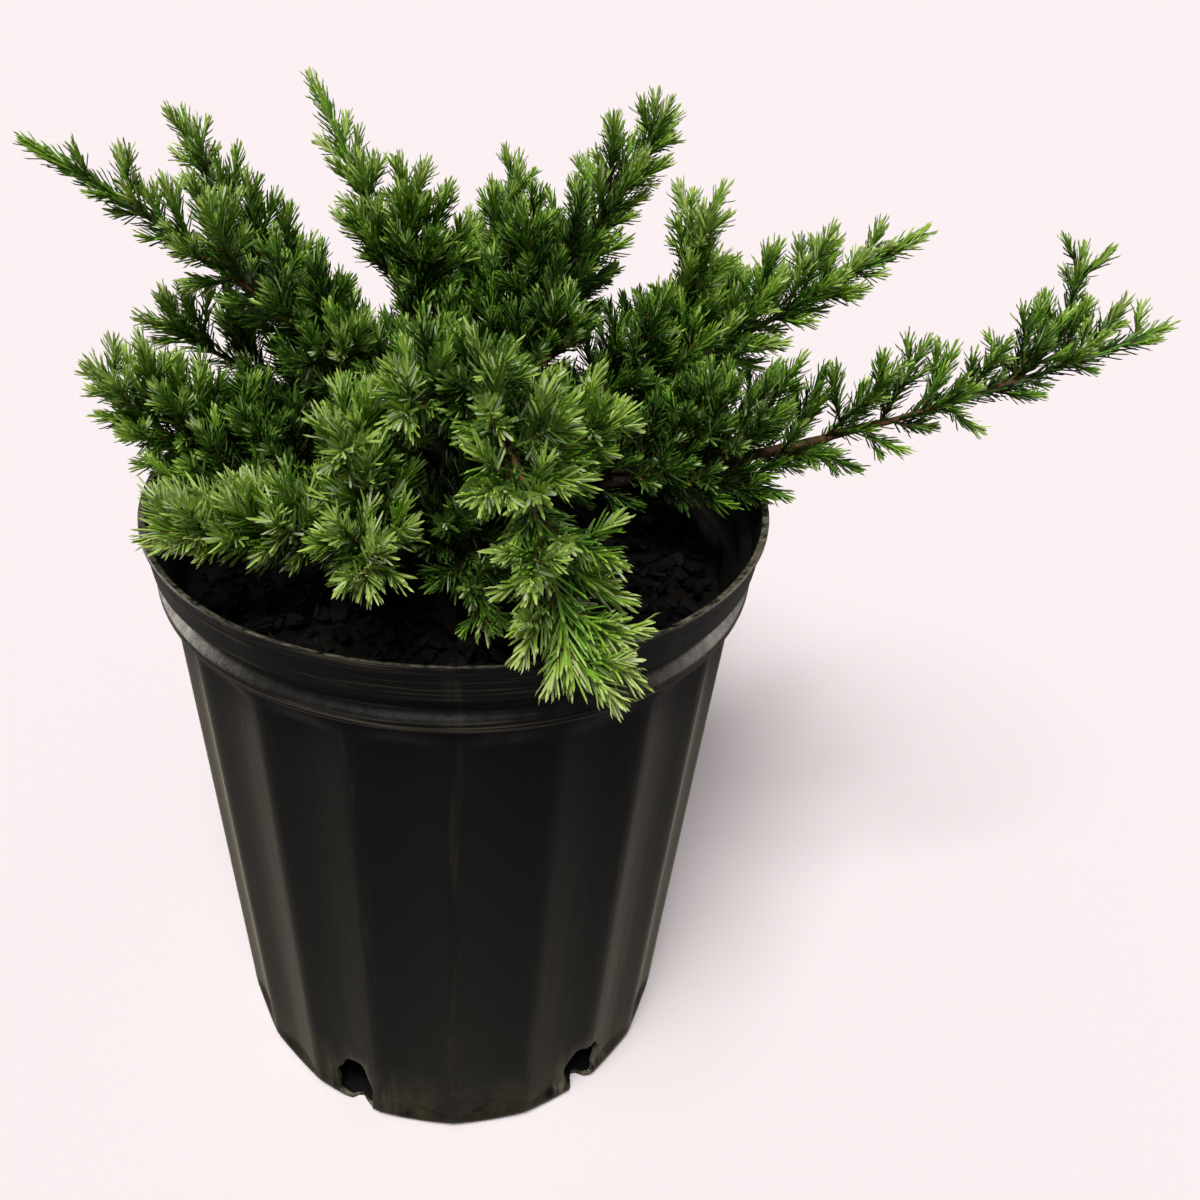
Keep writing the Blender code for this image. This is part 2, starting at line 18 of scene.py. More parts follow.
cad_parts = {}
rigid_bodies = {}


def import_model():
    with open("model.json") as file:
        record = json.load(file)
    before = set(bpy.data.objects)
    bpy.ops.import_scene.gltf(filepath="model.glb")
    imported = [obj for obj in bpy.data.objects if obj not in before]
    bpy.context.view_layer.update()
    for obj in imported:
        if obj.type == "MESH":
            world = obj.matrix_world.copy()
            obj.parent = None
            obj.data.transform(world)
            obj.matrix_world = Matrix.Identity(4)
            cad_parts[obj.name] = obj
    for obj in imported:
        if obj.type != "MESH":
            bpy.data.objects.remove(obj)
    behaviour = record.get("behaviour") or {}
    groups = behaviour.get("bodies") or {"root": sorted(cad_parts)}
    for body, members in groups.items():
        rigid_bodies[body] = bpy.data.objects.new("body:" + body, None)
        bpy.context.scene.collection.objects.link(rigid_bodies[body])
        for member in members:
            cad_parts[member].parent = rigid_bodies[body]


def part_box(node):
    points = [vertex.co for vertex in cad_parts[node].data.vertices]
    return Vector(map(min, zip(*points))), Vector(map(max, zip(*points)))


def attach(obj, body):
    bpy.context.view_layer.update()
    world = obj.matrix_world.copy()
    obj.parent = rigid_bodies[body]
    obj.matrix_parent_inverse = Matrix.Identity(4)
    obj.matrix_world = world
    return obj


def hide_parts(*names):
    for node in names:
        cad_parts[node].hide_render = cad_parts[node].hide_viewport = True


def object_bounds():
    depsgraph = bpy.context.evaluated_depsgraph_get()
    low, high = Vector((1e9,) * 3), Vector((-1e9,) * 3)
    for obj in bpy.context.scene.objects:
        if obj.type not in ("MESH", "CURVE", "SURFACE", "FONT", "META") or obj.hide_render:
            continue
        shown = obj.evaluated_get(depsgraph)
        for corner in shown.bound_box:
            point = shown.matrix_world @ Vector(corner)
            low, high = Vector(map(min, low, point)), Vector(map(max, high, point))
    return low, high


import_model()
CAD_BOX = [list(corner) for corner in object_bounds()]

bl_info = {
    "name": "Potted conifer",
    "version": (1, 0, 0),
    "blender": (4, 5, 0),
    "location": "View3D > Sidebar > Conifer",
    "description": "Finished pot, growing mix, bark, twigs and needles of a low conifer",
    "category": "Object",
}

POT_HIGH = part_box("pot")[1]
SOIL_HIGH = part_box("soil")[1]
TRUNK_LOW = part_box("trunk")[0]

# Pot: radii and heights of its moulded profile
POT_HEIGHT = POT_HIGH.z
LIP_RADIUS = POT_HIGH.x
BAND_RADIUS = 0.0811
BAND_HEIGHT = 0.011
GROOVE_RADIUS = 0.0785
GROOVE_HEIGHT = 0.004
BEAD_RADIUS = 0.0801
BEAD_HEIGHT = 0.005
BODY_TOP_RADIUS = 0.0774
BODY_FOOT_RADIUS = 0.068
FOOT_ROUND = 0.003
FLUTES = 20
FLUTE_FADE = 0.008
DRAIN_HOLES = 6
DRAIN_FIRST_ANGLE = math.radians(-55)
DRAIN_WIDTH = 0.0062
DRAIN_RISE = 0.0115

# Pot's finer form: recess of the underside, swell of the lip and of the bead, rounding of the arrises,
# how far the lip has lost its roundness, points to a flute, the middle of a drain hole above the foot's
# corner, the height on the bead that is rubbed and carries its painted highlight most, and the rounding
# of edges as a share of the wall
UNDERSIDE_RISE = 0.0012
LIP_SWELL = 0.0006
BEAD_SWELL = 0.0003
ARRIS_ROUND = 0.10
POT_GIVE = 0.0007
POT_COLUMNS_PER_FLUTE = 14
POT_COLUMNS = FLUTES * POT_COLUMNS_PER_FLUTE
DRAIN_CENTRE = 0.0060
BEAD_HIGHLIGHT_AND_WEAR = POT_HEIGHT - BAND_HEIGHT - GROOVE_HEIGHT - 0.7 * BEAD_HEIGHT
EDGE_SHARE = 0.26
EDGE_ANGLE = math.radians(55.0)

# Growing mix: its height in the middle and at the wall, its gap to the wall, its floor in the pot and
# where its side turns in, its rings, and its noises: spacing, height, repeat and seed of each
MIX_CROWN = 0.1570
MIX_EDGE = 0.1525
MIX_GAP = 0.0003
MIX_FLOOR = 0.0022
MIX_WAIST = 0.12
MIX_INSET = 0.0075
MIX_RINGS = 72
MIX_NOISES = ((0.0110, 0.0014, 64, 3), (0.0036, 0.0012, 128, 4), (0.0015, 0.0008, 256, 5))

# Bark chips: middling size and its spread as a logarithm, smallest and largest, how high they lie on
# the mix, width to length, thickness to length, and how many of each kind
CHIP_SIZE = 0.0022
CHIP_SPREAD = 0.42
CHIP_LIMITS = (0.0009, 0.0050)
CHIP_LIFT = (0.0004, 0.0026)
CHIP_WIDTH = 0.55
CHIP_THICKNESS = (0.13, 0.30)
CHIP_SHARES = (0.58, 0.30, 0.12)
CHIP_CORNERS = 6

# Trunk and shoots: the sizes that every limb grows from
GAP = 0.0003
TRUNK_FOOT = np.array((0.002, 0.008, TRUNK_LOW.z))
TRUNK_LEAN = np.array((0.0029, 0.0015, 0.0287))
TRUNK_FLARE_RADIUS = 0.0072
TRUNK_RADIUS = 0.0047
TRUNK_FORK_RADIUS = 0.0038
MAIN_RADIUS = 0.0022
FORK_SHARE = 0.75
FORK_MIN_RADIUS = 0.0012
TIP_RADIUS = 0.0007
PATH_STEPS = 24

# Sprigs: set round a shoot by the golden angle, the upper ones longer than those that hang, each tried
# on other sides and smaller where it has no room; angles in degrees
GOLDEN_ANGLE = 137.5
SPRIG_ANGLE = 46
ANGLE_PLAY = 12
SIZE_PLAY = 0.26
UPPER_SHARE = 0.30
SPRIG_STEPS = 6
SPRIG_BEND = 0.20
SPRIG_TAPER = 0.6
SPRIG_RADIUS = 0.00052
SPRIG_TRIES = tuple((share, side) for share in (1.0, 0.8, 0.6) for side in (0, 90, -90, 180))

# Inner sprigs, on the last stretch of bare bough: where they start as a share of it, how long they are
# against the others, and how closely they stand
INNER_START = 0.16
INNER_SHARE = 0.42
INNER_STEP = 0.62

# Finer sprigs, on the longer sprigs: length as a share of the sprig, loss of length to its tip, wood's
# radius, stretches without them at foot and tip, and how much they turn up
FINER_SHARE = 0.58
FINER_SHRINK = 0.6
FINER_RADIUS = 0.00040
FINER_FIRST = 0.0036
FINER_LAST = 0.0045
FINER_UPRIGHT = 0.22

# A shoot's tip: the stretch without sprigs, longer on a slim shoot; a sprig is at most TIP_REACH and a
# share of the way to the tip long, a smaller share on a slim shoot; and how far short of the tip the
# leader's wood ends, so that its needles fill its reach and no more
TIP_BARE = 0.005
TIP_BARE_SLIM = 0.03
TIP_REACH = 0.0025
TIP_SHARE = 0.70
TIP_SLIM = 0.45
LEADER_END = 0.0035
LEADER_ENDS = {"tall_left": 0.0, "right_long": 0.0060}

# Where a leader's own needles start, on a shoot that has shed them further out than its sprigs
CLAD_FROM = {"right_long": 0.56}

# The longer side twigs: their full, slim, step and upright as for a shoot, and their bare share
TWIG_LOOK = (0.5, 0.5, 1.0, 0.20)
TWIG_BARE = 0.10

# Spacing, length and its loss to the tip, the stretches without sprigs at foot and tip, wood's radius,
# and how much the upper ones turn up
SprigSizes = namedtuple("SprigSizes", "spacing length shrink first last radius upright")

# Needles: where each ring of a blade lies on its length and how wide it is there, its keel, its bend,
# how much closer the whorls crowd to the tip, and the share of them that is missing
NEEDLE_RINGS = ((0.0, 0.85), (0.84, 0.92))
NEEDLE_KEEL = 0.42
NEEDLE_BEND = 0.16
CROWDING = 0.8
NEEDLE_LOSS = 0.05

# Play of the needles: turn and opening in radians, the least opening, lengths, widths and tones
TURN_PLAY = 0.18
OPEN_PLAY = 0.13
OPEN_LEAST = 0.06
LENGTH_PLAY = (0.76, 1.14)
WIDTH_PLAY = (0.88, 1.10)
TONE_PLAY = 0.70

# Length of the needles up a stem: at its foot, what the way up adds, at ALONG_RUN times the pace, and what
# the bud takes off; and their tones below the stem's own at the foot, darker there as older needles and
# painted shade, and what the way and the tip add
FOOT_LENGTH = 0.80
ALONG_LENGTH = 0.30
ALONG_RUN = 1.8
BUD_LENGTH = 0.28
FOOT_TONE = 1.6
ALONG_TONE = 1.1
TIP_TONE = 1.5

# How far needles stand open at a stem's foot and at its tip, in degrees: on a full shoot with no new
# growth, and what slim and fresh add; over how many of their lengths they close up towards the tip;
# and the share of them that has dropped at the foot
LEADER_OPEN = ((54, -24, 3), (32, -16, 4))
LEADER_CLOSING = 2.4
LEADER_LOSS = 0.45
SPRIG_OPEN = ((44, 0, 0), (20, 0, 6))
SPRIG_CLOSING = 1.7
SPRIG_LOSS = 0.12

# A sprig's length from which its needles are full size, and the stretch at its foot without needles
SPRIG_FULL = 0.012
SPRIG_FOOT = 0.0015

# Tones: plain colours from the crown's inside to new growth, then the waxy bands of upper faces. Up to
# BAND_FROM_TONE a needle has the old band; PALE_SHARE of all but the darkest have a pale upper face, thick
# wax and painted highlight
TONES = ("inner", "shaded", "deep", "leaf", "bright", "young", "bud")
BAND_FROM_TONE = 3
OLD_BAND = len(TONES)
YOUNG_BAND = OLD_BAND + 1
PALE_BAND = OLD_BAND + 2
PALE_SHARE = 0.17

# A sprig's tone: the tone deep inside, what its place outside, new growth and place on the shoot add,
# its play, and how much further the tones of one sprig lie apart for each tone that it is paler. Dark
# inside and pale outside stand for older and newer needles, and also for painted shade and light
TONE_INSIDE = 0.6
TONE_OUTSIDE = 1.8
TONE_FRESH = 2.1
TONE_GROWN = 0.6
SPRIG_TONE_PLAY = 0.45
# The spread darkens the foot of a pale sprig further: painted shade among its needles
TONE_SPREAD = 0.14

# The crown's dark core, older needles and painted shade, as a radius round the trunk at the lip's height,
# and the depth of its green shell
CROWN_CORE = 0.035
CROWN_SHELL = 0.075

# Length of needles on the masses nearest to the front, which carry the longest
NEEDLE_SIZES = {"front_left": 1.30, "front_left_fork": 1.26, "front_left_upper": 1.22, "front_drape": 1.18,
                "front_upper": 1.15}

# Bark: depth of its relief, and length and number round a stem of its plates, grain and knots; the
# share of a leafy stem that is still brown, and how much thinner it is than the bough; the overlap of
# bough and stem; the swell of a bough's collar, and its reach in root radii
BARK_DEPTH = 0.0006
BARK_PLATES = (0.0045, 6)
BARK_GRAIN = (0.0014, 12)
BARK_KNOTS = (0.0090, 3)
GREEN_WOOD_FROM = 0.55
LEADER_SLENDER = 0.38
BOUGH_OVERLAP = 0.01
COLLAR_SWELL = 0.40
COLLAR_REACH = 2.2

# Points round a stem, the step between rings in metres, and the bend under which it counts as straight
TRUNK_SIDES = 36
TRUNK_RINGS = 56
BOUGH_SIDES = 16
BOUGH_STEP = 0.0009
LEADER_SIDES = 10
LEADER_STEP = 0.0018
SPRIG_SIDES = 5
STRAIGHT = 0.15

# Seeds of what is random: the chips, the trunk's bark, and the first bough, leader and longer twig,
# each limb's own seed being SEED_STEP after the last
CHIP_SEED = 71
TRUNK_SEED = 11
BOUGH_SEED = 20
LEADER_SEED = 200
TWIG_SEED = 400
SEED_STEP = 5

# Stage: sizes in metres, angles in degrees, powers in watts; each strip's place, width, height, power
FLOOR_LEVEL = -0.0002
FLOOR_SIDE = 12.0
KEY_ANGLE = 28
KEY_FROM = (-0.16, -0.42, 1.0)
STRIPS = (
    ("left_strip", (-0.75, 0.20, 0.35), 0.45, 0.80, 9.5),
    ("right_strip", (0.80, 0.10, 0.35), 0.45, 0.80, 6.5),
)
STRIP_TINT = (1.0, 0.93, 0.82)
CAMERA_PLACE = (0.0, -0.252, 0.312)
CAMERA_DIP = 26.9
CAMERA_LENS = 31.4
CAMERA_SENSOR = 36.0
CAMERA_SHIFT = (0.1228, -0.117)
PICTURE_SIDE = 1200

# parent and place: what the shoot grows from, and the share of its length;
# heading and turn: compass angle from +X at the root, and its change to the tip;
# rise and lift: slope at the root, and at the tip, in degrees;
# bare: share of the length that is bare bough; fresh: how much new growth it carries, from 0 for none
# to 1 for a full flush and more where it is the palest; full: size of its sprigs;
# slim: the share of it that they lose towards the tip; step: how far apart they stand;
# upright: how much the upper ones turn up
Shoot = namedtuple("Shoot", "parent place heading turn rise lift length bare fresh full slim step "
                            "upright")

SHOOTS = {name: Shoot(*row) for name, *row in (
    ("left_arch", "trunk", 0.69, -170, -8, 53, 32, 0.136, 0.33, 0.75, 0.95, 0.90, 0.95, 0.30),
    ("left_upper", "left_arch", 0.30, 152, -23, 30, 64, 0.085, 0.15, 0.75, 0.82, 0.66, 0.95, 0.24),
    ("middle_front", "left_arch", 0.25, -40, -30, 12, 50, 0.039, 0.20, 0.80, 0.70, 0.50, 1.00, 0.36),
    ("tall_left", "trunk", 0.93, 130, 2, 61, 51.5, 0.108, 0.34, 1.20, 0.95, 0.95, 0.95, 0.16),
    ("tall_left_fork", "tall_left", 0.30, 98, 60, 68, 79, 0.046, 0.15, 1.10, 0.85, 0.60, 0.95, 0.30),
    ("back_middle", "trunk", 0.97, 72, 6, 47, 58, 0.087, 0.28, 0.60, 0.92, 0.74, 0.90, 0.30),
    ("back_low", "back_middle", 0.25, 103, -21, 14, 25, 0.071, 0.15, 0.30, 0.85, 0.60, 1.00, 0.34),
    ("tall_right", "trunk", 0.77, 43, -8, 61, 40, 0.114, 0.36, 0.85, 0.92, 0.60, 0.82, 0.10),
    ("tall_right_fork", "tall_right", 0.32, 104, -64, 48, 72, 0.043, 0.15, 0.40, 0.80, 0.60, 1.00, 0.26),
    ("back_right_low", "tall_right", 0.27, 73, -5, 9, 9, 0.075, 0.15, 0.30, 1.10, 0.63, 0.95, 0.34),
    ("middle_right", "tall_right", 0.22, 330, -10, 36, 70, 0.030, 0.20, 0.50, 1.20, 0.40, 0.90, 0.36),
    ("right_reach", "trunk", 0.63, 10, 8, 26, 25, 0.144, 0.36, 1.05, 1.02, 0.84, 0.85, 0.08),
    ("right_upright", "right_reach", 0.32, 33, -20, 36, 98, 0.056, 0.15, 1.00, 0.46, -0.35, 0.74, 0.30),
    ("right_back_low", "right_reach", 0.25, 46, 2, 16, 2, 0.082, 0.20, 0.45, 1.15, 0.60, 0.90, 0.34),
    ("right_long", "trunk", 0.38, -13, 29, 14, 17, 0.194, 0.31, 0.40, 1.10, 0.80, 1.22, 0.62),
    ("right_inner", "right_long", 0.28, -5, 34, 44, 74, 0.029, 0.20, 0.45, 1.10, 0.42, 0.90, 0.36),
    ("left_middle", "trunk", 0.45, 169, 14, 32, 30, 0.096, 0.34, 0.75, 1.15, 0.50, 0.88, 0.34),
    ("left_inner", "left_middle", 0.31, 268, 1, 57, 54, 0.048, 0.15, 0.75, 1.00, 0.55, 0.95, 0.34),
    ("back_left_low", "left_middle", 0.25, 119, 17, 37, 9, 0.095, 0.15, 0.45, 1.00, 0.60, 1.00, 0.34),
    ("left_low", "left_middle", 0.18, 208, -19, -6, 64, 0.091, 0.39, 1.05, 1.10, 0.50, 0.82, 0.34),
    ("left_low_fork", "left_low", 0.35, 240, -15, 29, 4, 0.042, 0.15, 0.60, 0.60, 0.50, 0.90, 0.20),
    ("front_left", "trunk", 0.41, 240, -51, 8, 17, 0.092, 0.42, 1.85, 0.56, 0.15, 0.50, 0.10),
    ("front_left_fork", "front_left", 0.39, 268, 8, 26, -2, 0.041, 0.15, 1.75, 0.80, 0.20, 0.66, 0.10),
    ("front_left_upper", "front_left", 0.29, 236, 35, 58, 30, 0.053, 0.15, 1.35, 0.90, 0.50, 0.85, 0.36),
    ("front_low", "front_left", 0.18, 302, -32, 16, -31, 0.051, 0.20, 0.50, 1.00, 0.50, 0.85, 0.20),
    ("front_drape", "trunk", 0.66, -90, 26, 80, -76, 0.136, 0.44, 1.15, 0.64, -0.02, 0.62, 0.10),
    ("front_drape_fork", "front_drape", 0.40, 293, 85, -29, 54, 0.044, 0.15, 1.00, 0.75, 0.50, 0.90, 0.36),
    ("front_upper", "front_drape", 0.28, 250, 12, 28, 12, 0.047, 0.15, 1.00, 0.70, 0.50, 0.90, 0.36),
)}

# A longer side twig of one mass: its name, place on the whole shoot, then as above
Twig = namedtuple("Twig", "mass place heading turn rise lift length")

TWIGS = [
    Twig("right_long", 0.72, 7, 73, 23, 70, 0.049),
    Twig("right_upright", 0.50, -25, 10, 45, 78, 0.019),
]

# The needles of a twig: step between whorls, length, width, how far they stand open at the twig's
# foot and at its tip in degrees, over how many needle lengths they close up towards the tip, and
# the share of them that has dropped at the foot
Brush = namedtuple("Brush", "spacing length width open_foot open_tip closing loss")

# Room that sprigs keep to other stems, foliage to the pot and the mix, and sprigs' tips to the
# limits of the crown
STEM_ROOM = 0.004
POT_ROOM = 0.0009
WALL_ROOM = 0.0035
TIP_ROOM = 0.0025
STEM_SAMPLES = 30
CROWN_LOW = np.array(CAD_BOX[0]) + TIP_ROOM
CROWN_HIGH = np.array(CAD_BOX[1]) - TIP_ROOM

# Gaps that the crown keeps, seen from the camera: the pixel in the middle and the radius in pixels of
# a 1200-pixel picture, and the depth in metres that sprigs and needles keep clear to. The sky shows
# through a gap of SKY_DEPTH, which no sprig enters, and dark wood through a shallower one
Gap = namedtuple("Gap", "x y radius depth")

SKY_DEPTH = 1.0
GAPS = {
    "sky_beside_tall_left": Gap(378, 296, 24, SKY_DEPTH),
    "sky_under_tall_right": Gap(650, 256, 17, SKY_DEPTH),
    "sky_left_of_column": Gap(669, 268, 12, SKY_DEPTH),
    "sky_right_of_column": Gap(736, 248, 12, SKY_DEPTH),
    "sky_behind_left_arch": Gap(222, 360, 18, SKY_DEPTH),
    "sky_beside_left_arch": Gap(264, 347, 8, SKY_DEPTH),
    "sky_in_left_fork": Gap(191, 224, 8, SKY_DEPTH),
    "wall_right_of_drape": Gap(692, 655, 45, SKY_DEPTH),
    "hollow_over_front_left": Gap(302, 452, 24, 0.262),
    "hollow_behind_left_low": Gap(236, 418, 20, 0.262),
    "hollow_in_the_middle": Gap(545, 332, 17, 0.275),
}

# A mesh in parts: points, four- and three-cornered faces, and each face's material slot
Patch = namedtuple("Patch", "points quads tris quad_slots tri_slots")

# A twig with its place in the crown: how far along its shoot it grows, and its branching order
Sprig = namedtuple("Sprig", "stem grown order")


# ---------------------------------------------------------------- colours and materials' help

def linear(code):
    """Linear colour of an sRGB hex code: the usual power curve with its straight foot."""
    shares = [int(code[i:i + 2], 16) / 255 for i in (1, 3, 5)]
    return tuple(s / 12.92 if s <= 0.04045 else ((s + 0.055) / 1.055) ** 2.4 for s in shares)


def connect(tree, node, links):
    """Link inputs to other nodes: "name" is that node's first output, and "name.output" another."""
    for key, source in links.items():
        origin, _, output = source.partition(".")
        outputs = tree.nodes[origin].outputs
        tree.links.new(outputs[int(output) if output.isdigit() else output or 0], node.inputs[key])


def add_node(tree, name, kind, settings=None, links=None):
    """Add a node by name; settings are properties, input values, a ramp's stops, or a range's four ends:
    from low, from high, to low, to high."""
    node = tree.nodes.new("ShaderNode" + kind)
    node.name = name
    for key, value in (settings or {}).items():
        if key == "stops":
            ramp = node.color_ramp
            while len(ramp.elements) < len(value):
                ramp.elements.new(1.0)
            for element, (place, colour) in zip(ramp.elements, value):
                element.position = place
                element.color = (*colour, 1.0)
        elif key == "range":
            for end, number in zip(("From Min", "From Max", "To Min", "To Max"), value):
                node.inputs[end].default_value = number
        elif isinstance(key, str) and hasattr(node, key):
            setattr(node, key, value)
        else:
            node.inputs[key].default_value = value
    connect(tree, node, links or {})


def new_material(name, colour, roughness, specular, rows=(), links=None):
    """A Principled finish and its pattern: rows of name, kind, settings and links of each node, and
    the nodes that the shader's own inputs are linked to."""
    material = bpy.data.materials.new(name)
    material.use_nodes = True
    tree = material.node_tree
    shader = tree.nodes["Principled BSDF"]
    shader.inputs["Base Color"].default_value = (*colour, 1.0)
    shader.inputs["Roughness"].default_value = roughness
    shader.inputs["Specular IOR Level"].default_value = specular
    for row in rows:
        add_node(tree, *row)
    connect(tree, shader, links or {})
    return material


# ---------------------------------------------------------------- meshes from arrays

def unit(vectors):
    """Vectors divided by their own length."""
    return vectors / np.maximum(np.linalg.norm(vectors, axis=-1, keepdims=True), 1e-12)


def plain_patch(points, quads, tris):
    """A patch of one material."""
    return Patch(points, quads, tris, np.zeros(len(quads), int), np.zeros(len(tris), int))


def joined(patches):
    """One patch of many: each patch's corner numbers move up by the points before it."""
    starts = np.cumsum([0] + [len(patch.points) for patch in patches[:-1]])
    points, quads, tris, quad_slots, tri_slots = zip(*patches)
    return Patch(
        np.concatenate(points),
        np.concatenate([faces + start for faces, start in zip(quads, starts)]),
        np.concatenate([faces + start for faces, start in zip(tris, starts)]),
        np.concatenate(quad_slots),
        np.concatenate(tri_slots),
    )


def put(name, data, place=(0.0, 0.0, 0.0), turn=(0.0, 0.0, 0.0)):
    """A new object in the scene."""
    thing = bpy.data.objects.new(name, data)
    thing.location = place
    thing.rotation_euler = turn
    bpy.context.scene.collection.objects.link(thing)
    return thing


def new_piece(name, patch, materials, smooth=True):
    """Put a patch in the scene as a mesh at the origin that rides with the plant."""
    mesh = bpy.data.meshes.new(name)
    mesh.vertices.add(len(patch.points))
    mesh.vertices.foreach_set("co", patch.points.astype(np.float32).ravel())
    corners = np.concatenate([patch.quads.ravel(), patch.tris.ravel()])
    mesh.loops.add(len(corners))
    mesh.loops.foreach_set("vertex_index", corners.astype(np.int32))
    quad_ends = 4 * len(patch.quads)
    starts = np.concatenate([np.arange(len(patch.quads)) * 4,
                             quad_ends + np.arange(len(patch.tris)) * 3])
    slots = np.concatenate([patch.quad_slots, patch.tri_slots])
    mesh.polygons.add(len(starts))
    mesh.polygons.foreach_set("loop_start", starts.astype(np.int32))
    mesh.polygons.foreach_set("material_index", slots.astype(np.int32))
    mesh.polygons.foreach_set("use_smooth", np.full(len(starts), smooth))
    for material in materials:
        mesh.materials.append(material)
    mesh.update(calc_edges=True)
    if mesh.validate():
        raise RuntimeError(f"{name} has a face that Blender can't keep")
    piece = put(name, mesh)
    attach(piece, "root")
    return piece


def grid_quads(rows, columns):
    """Corner numbers of a grid whose columns close on themselves, facing out if they run anticlockwise."""
    numbers = np.arange(rows * columns).reshape(rows, columns)
    after = np.roll(numbers, -1, axis=1)
    return np.stack([numbers[:-1], after[:-1], after[1:], numbers[1:]], axis=-1).reshape(-1, 4)


def ring_fan(numbers, pole, outward):
    """Triangles from a ring of points to its pole."""
    after = np.roll(numbers, -1)
    poles = np.full(len(numbers), pole)
    return np.stack([poles, numbers, after] if outward else [poles, after, numbers], axis=-1)


def side_frames(tangents):
    """Two unit vectors square to each tangent: the axis that the stem bends about, made square to it."""
    bend = np.cross(tangents[0], tangents[-1])
    if np.linalg.norm(bend) < STRAIGHT:
        middle = tangents.mean(axis=0)
        bend = np.cross(middle, np.eye(3)[np.argmin(np.abs(middle))])
    side = unit(bend - (tangents @ bend)[:, None] * tangents)
    return side, np.cross(tangents, side)


def closed_rings(rings, low, high):
    """Rings of points, joined and closed by a fan to a pole at each end."""
    rows, columns = rings.shape[:2]
    count = rows * columns
    tris = np.concatenate([ring_fan(np.arange(columns), count, False),
                           ring_fan(np.arange(count - columns, count), count + 1, True)])
    return plain_patch(np.vstack([rings.reshape(-1, 3), low, high]), grid_quads(rows, columns), tris)


def tube_patch(points, radii, sides, relief=0.0):
    """Rings round a path, each point radius x (1 + relief) from it."""
    tangents = unit(np.gradient(points, axis=0))
    side, up = side_frames(tangents)
    turn = math.tau * np.arange(sides) / sides
    rings = side[:, None] * np.cos(turn)[:, None] + up[:, None] * np.sin(turn)[:, None]
    surface = points[:, None] + rings * (radii[:, None] * (1.0 + relief))[..., None]
    return closed_rings(surface, points[0], points[-1] + tangents[-1] * radii[-1])


def lattice_noise(u, v, repeat, seed):
    """Smooth noise from -1 to 1: random values at whole u and v, blended between by 3t^2 - 2t^3.

    It repeats in u after the given whole number, so that it closes round a stem.
    """
    rows = int(v.max()) + 2
    table = np.random.default_rng(seed).uniform(-1.0, 1.0, (repeat, rows))
    column, row = np.floor(u).astype(int), np.floor(v).astype(int)
    blend_u, blend_v = u - column, v - row
    blend_u = blend_u ** 2 * (3.0 - 2.0 * blend_u)
    blend_v = blend_v ** 2 * (3.0 - 2.0 * blend_v)
    here, there = column % repeat, (column + 1) % repeat
    low = table[here, row] * (1.0 - blend_u) + table[there, row] * blend_u
    high = table[here, row + 1] * (1.0 - blend_u) + table[there, row + 1] * blend_u
    return low * (1.0 - blend_v) + high * blend_v


# ---------------------------------------------------------------- how the plant grows

def direction(heading, rise):
    """Unit vector for a compass angle and a slope in degrees."""
    heading, rise = np.radians(heading), np.radians(rise)
    return np.stack([np.cos(rise) * np.cos(heading), np.cos(rise) * np.sin(heading),
                     np.sin(rise)], axis=-1)


class Stem:
    """Centre line of a limb or twig, with an even taper from its root to its tip."""

    def __init__(self, points, root_radius, tip_radius):
        self.points = points
        self.tangents = unit(np.gradient(points, axis=0))
        self.root_radius = root_radius
        self.tip_radius = tip_radius
        self.length = np.linalg.norm(np.diff(points, axis=0), axis=1).sum()

    def read(self, rows, shares):
        """Rows of an array along the stem, read straight between at shares of its length."""
        last = len(rows) - 1
        places = np.clip(np.asarray(shares, float), 0.0, 1.0) * last
        index = np.minimum(places.astype(int), last - 1)
        part = (places - index)[..., None]
        return rows[index] * (1.0 - part) + rows[index + 1] * part

    def at(self, shares):
        """Points at shares of the length."""
        return self.read(self.points, shares)

    def tangent(self, shares):
        """Unit directions of growth at shares of the length."""
        return unit(self.read(self.tangents, shares))

    def radius(self, shares):
        """Radii at shares of the length."""
        return self.root_radius + (self.tip_radius - self.root_radius) * np.asarray(shares, float)


def grow_path(start, shoot):
    """Points of a shoot that turns and lifts evenly along its length."""
    share = (np.arange(PATH_STEPS) + 0.5) / PATH_STEPS
    steps = direction(shoot.heading + shoot.turn * share,
                      shoot.rise + (shoot.lift - shoot.rise) * share)
    return start + np.vstack([np.zeros(3), np.cumsum(steps * shoot.length / PATH_STEPS, axis=0)])


def root_beside(parent, place, aim, radius):
    """Point where a limb's root cap clears its parent's side by the fit gap."""
    along = parent.tangent(place)
    outward = unit(aim - (aim @ along) * along)
    slant = math.sqrt(max(0.0, 1.0 - float(outward @ aim) ** 2))
    return parent.at(place) + outward * (parent.radius(place) + GAP + radius * slant)


def plan_stems():
    """The trunk, every shoot from its parent, and the longer twigs from inside their masses."""
    trunk_points = TRUNK_FOOT + TRUNK_LEAN * np.linspace(0.0, 1.0, PATH_STEPS + 1)[:, None]
    stems = {"trunk": Stem(trunk_points, TRUNK_RADIUS, TRUNK_FORK_RADIUS)}
    for name, shoot in SHOOTS.items():
        parent = stems[shoot.parent]
        radius = MAIN_RADIUS
        if shoot.parent != "trunk":
            radius = max(FORK_MIN_RADIUS, FORK_SHARE * float(parent.radius(shoot.place)))
        start = root_beside(parent, shoot.place, direction(shoot.heading, shoot.rise), radius)
        stems[name] = Stem(grow_path(start, shoot), radius, TIP_RADIUS)
    twigs = []
    for twig in TWIGS:
        parent = stems[twig.mass]
        radius = FORK_SHARE * float(parent.radius(twig.place))
        twigs.append((twig, Stem(grow_path(parent.at(twig.place), twig), radius, TIP_RADIUS)))
    return stems, twigs


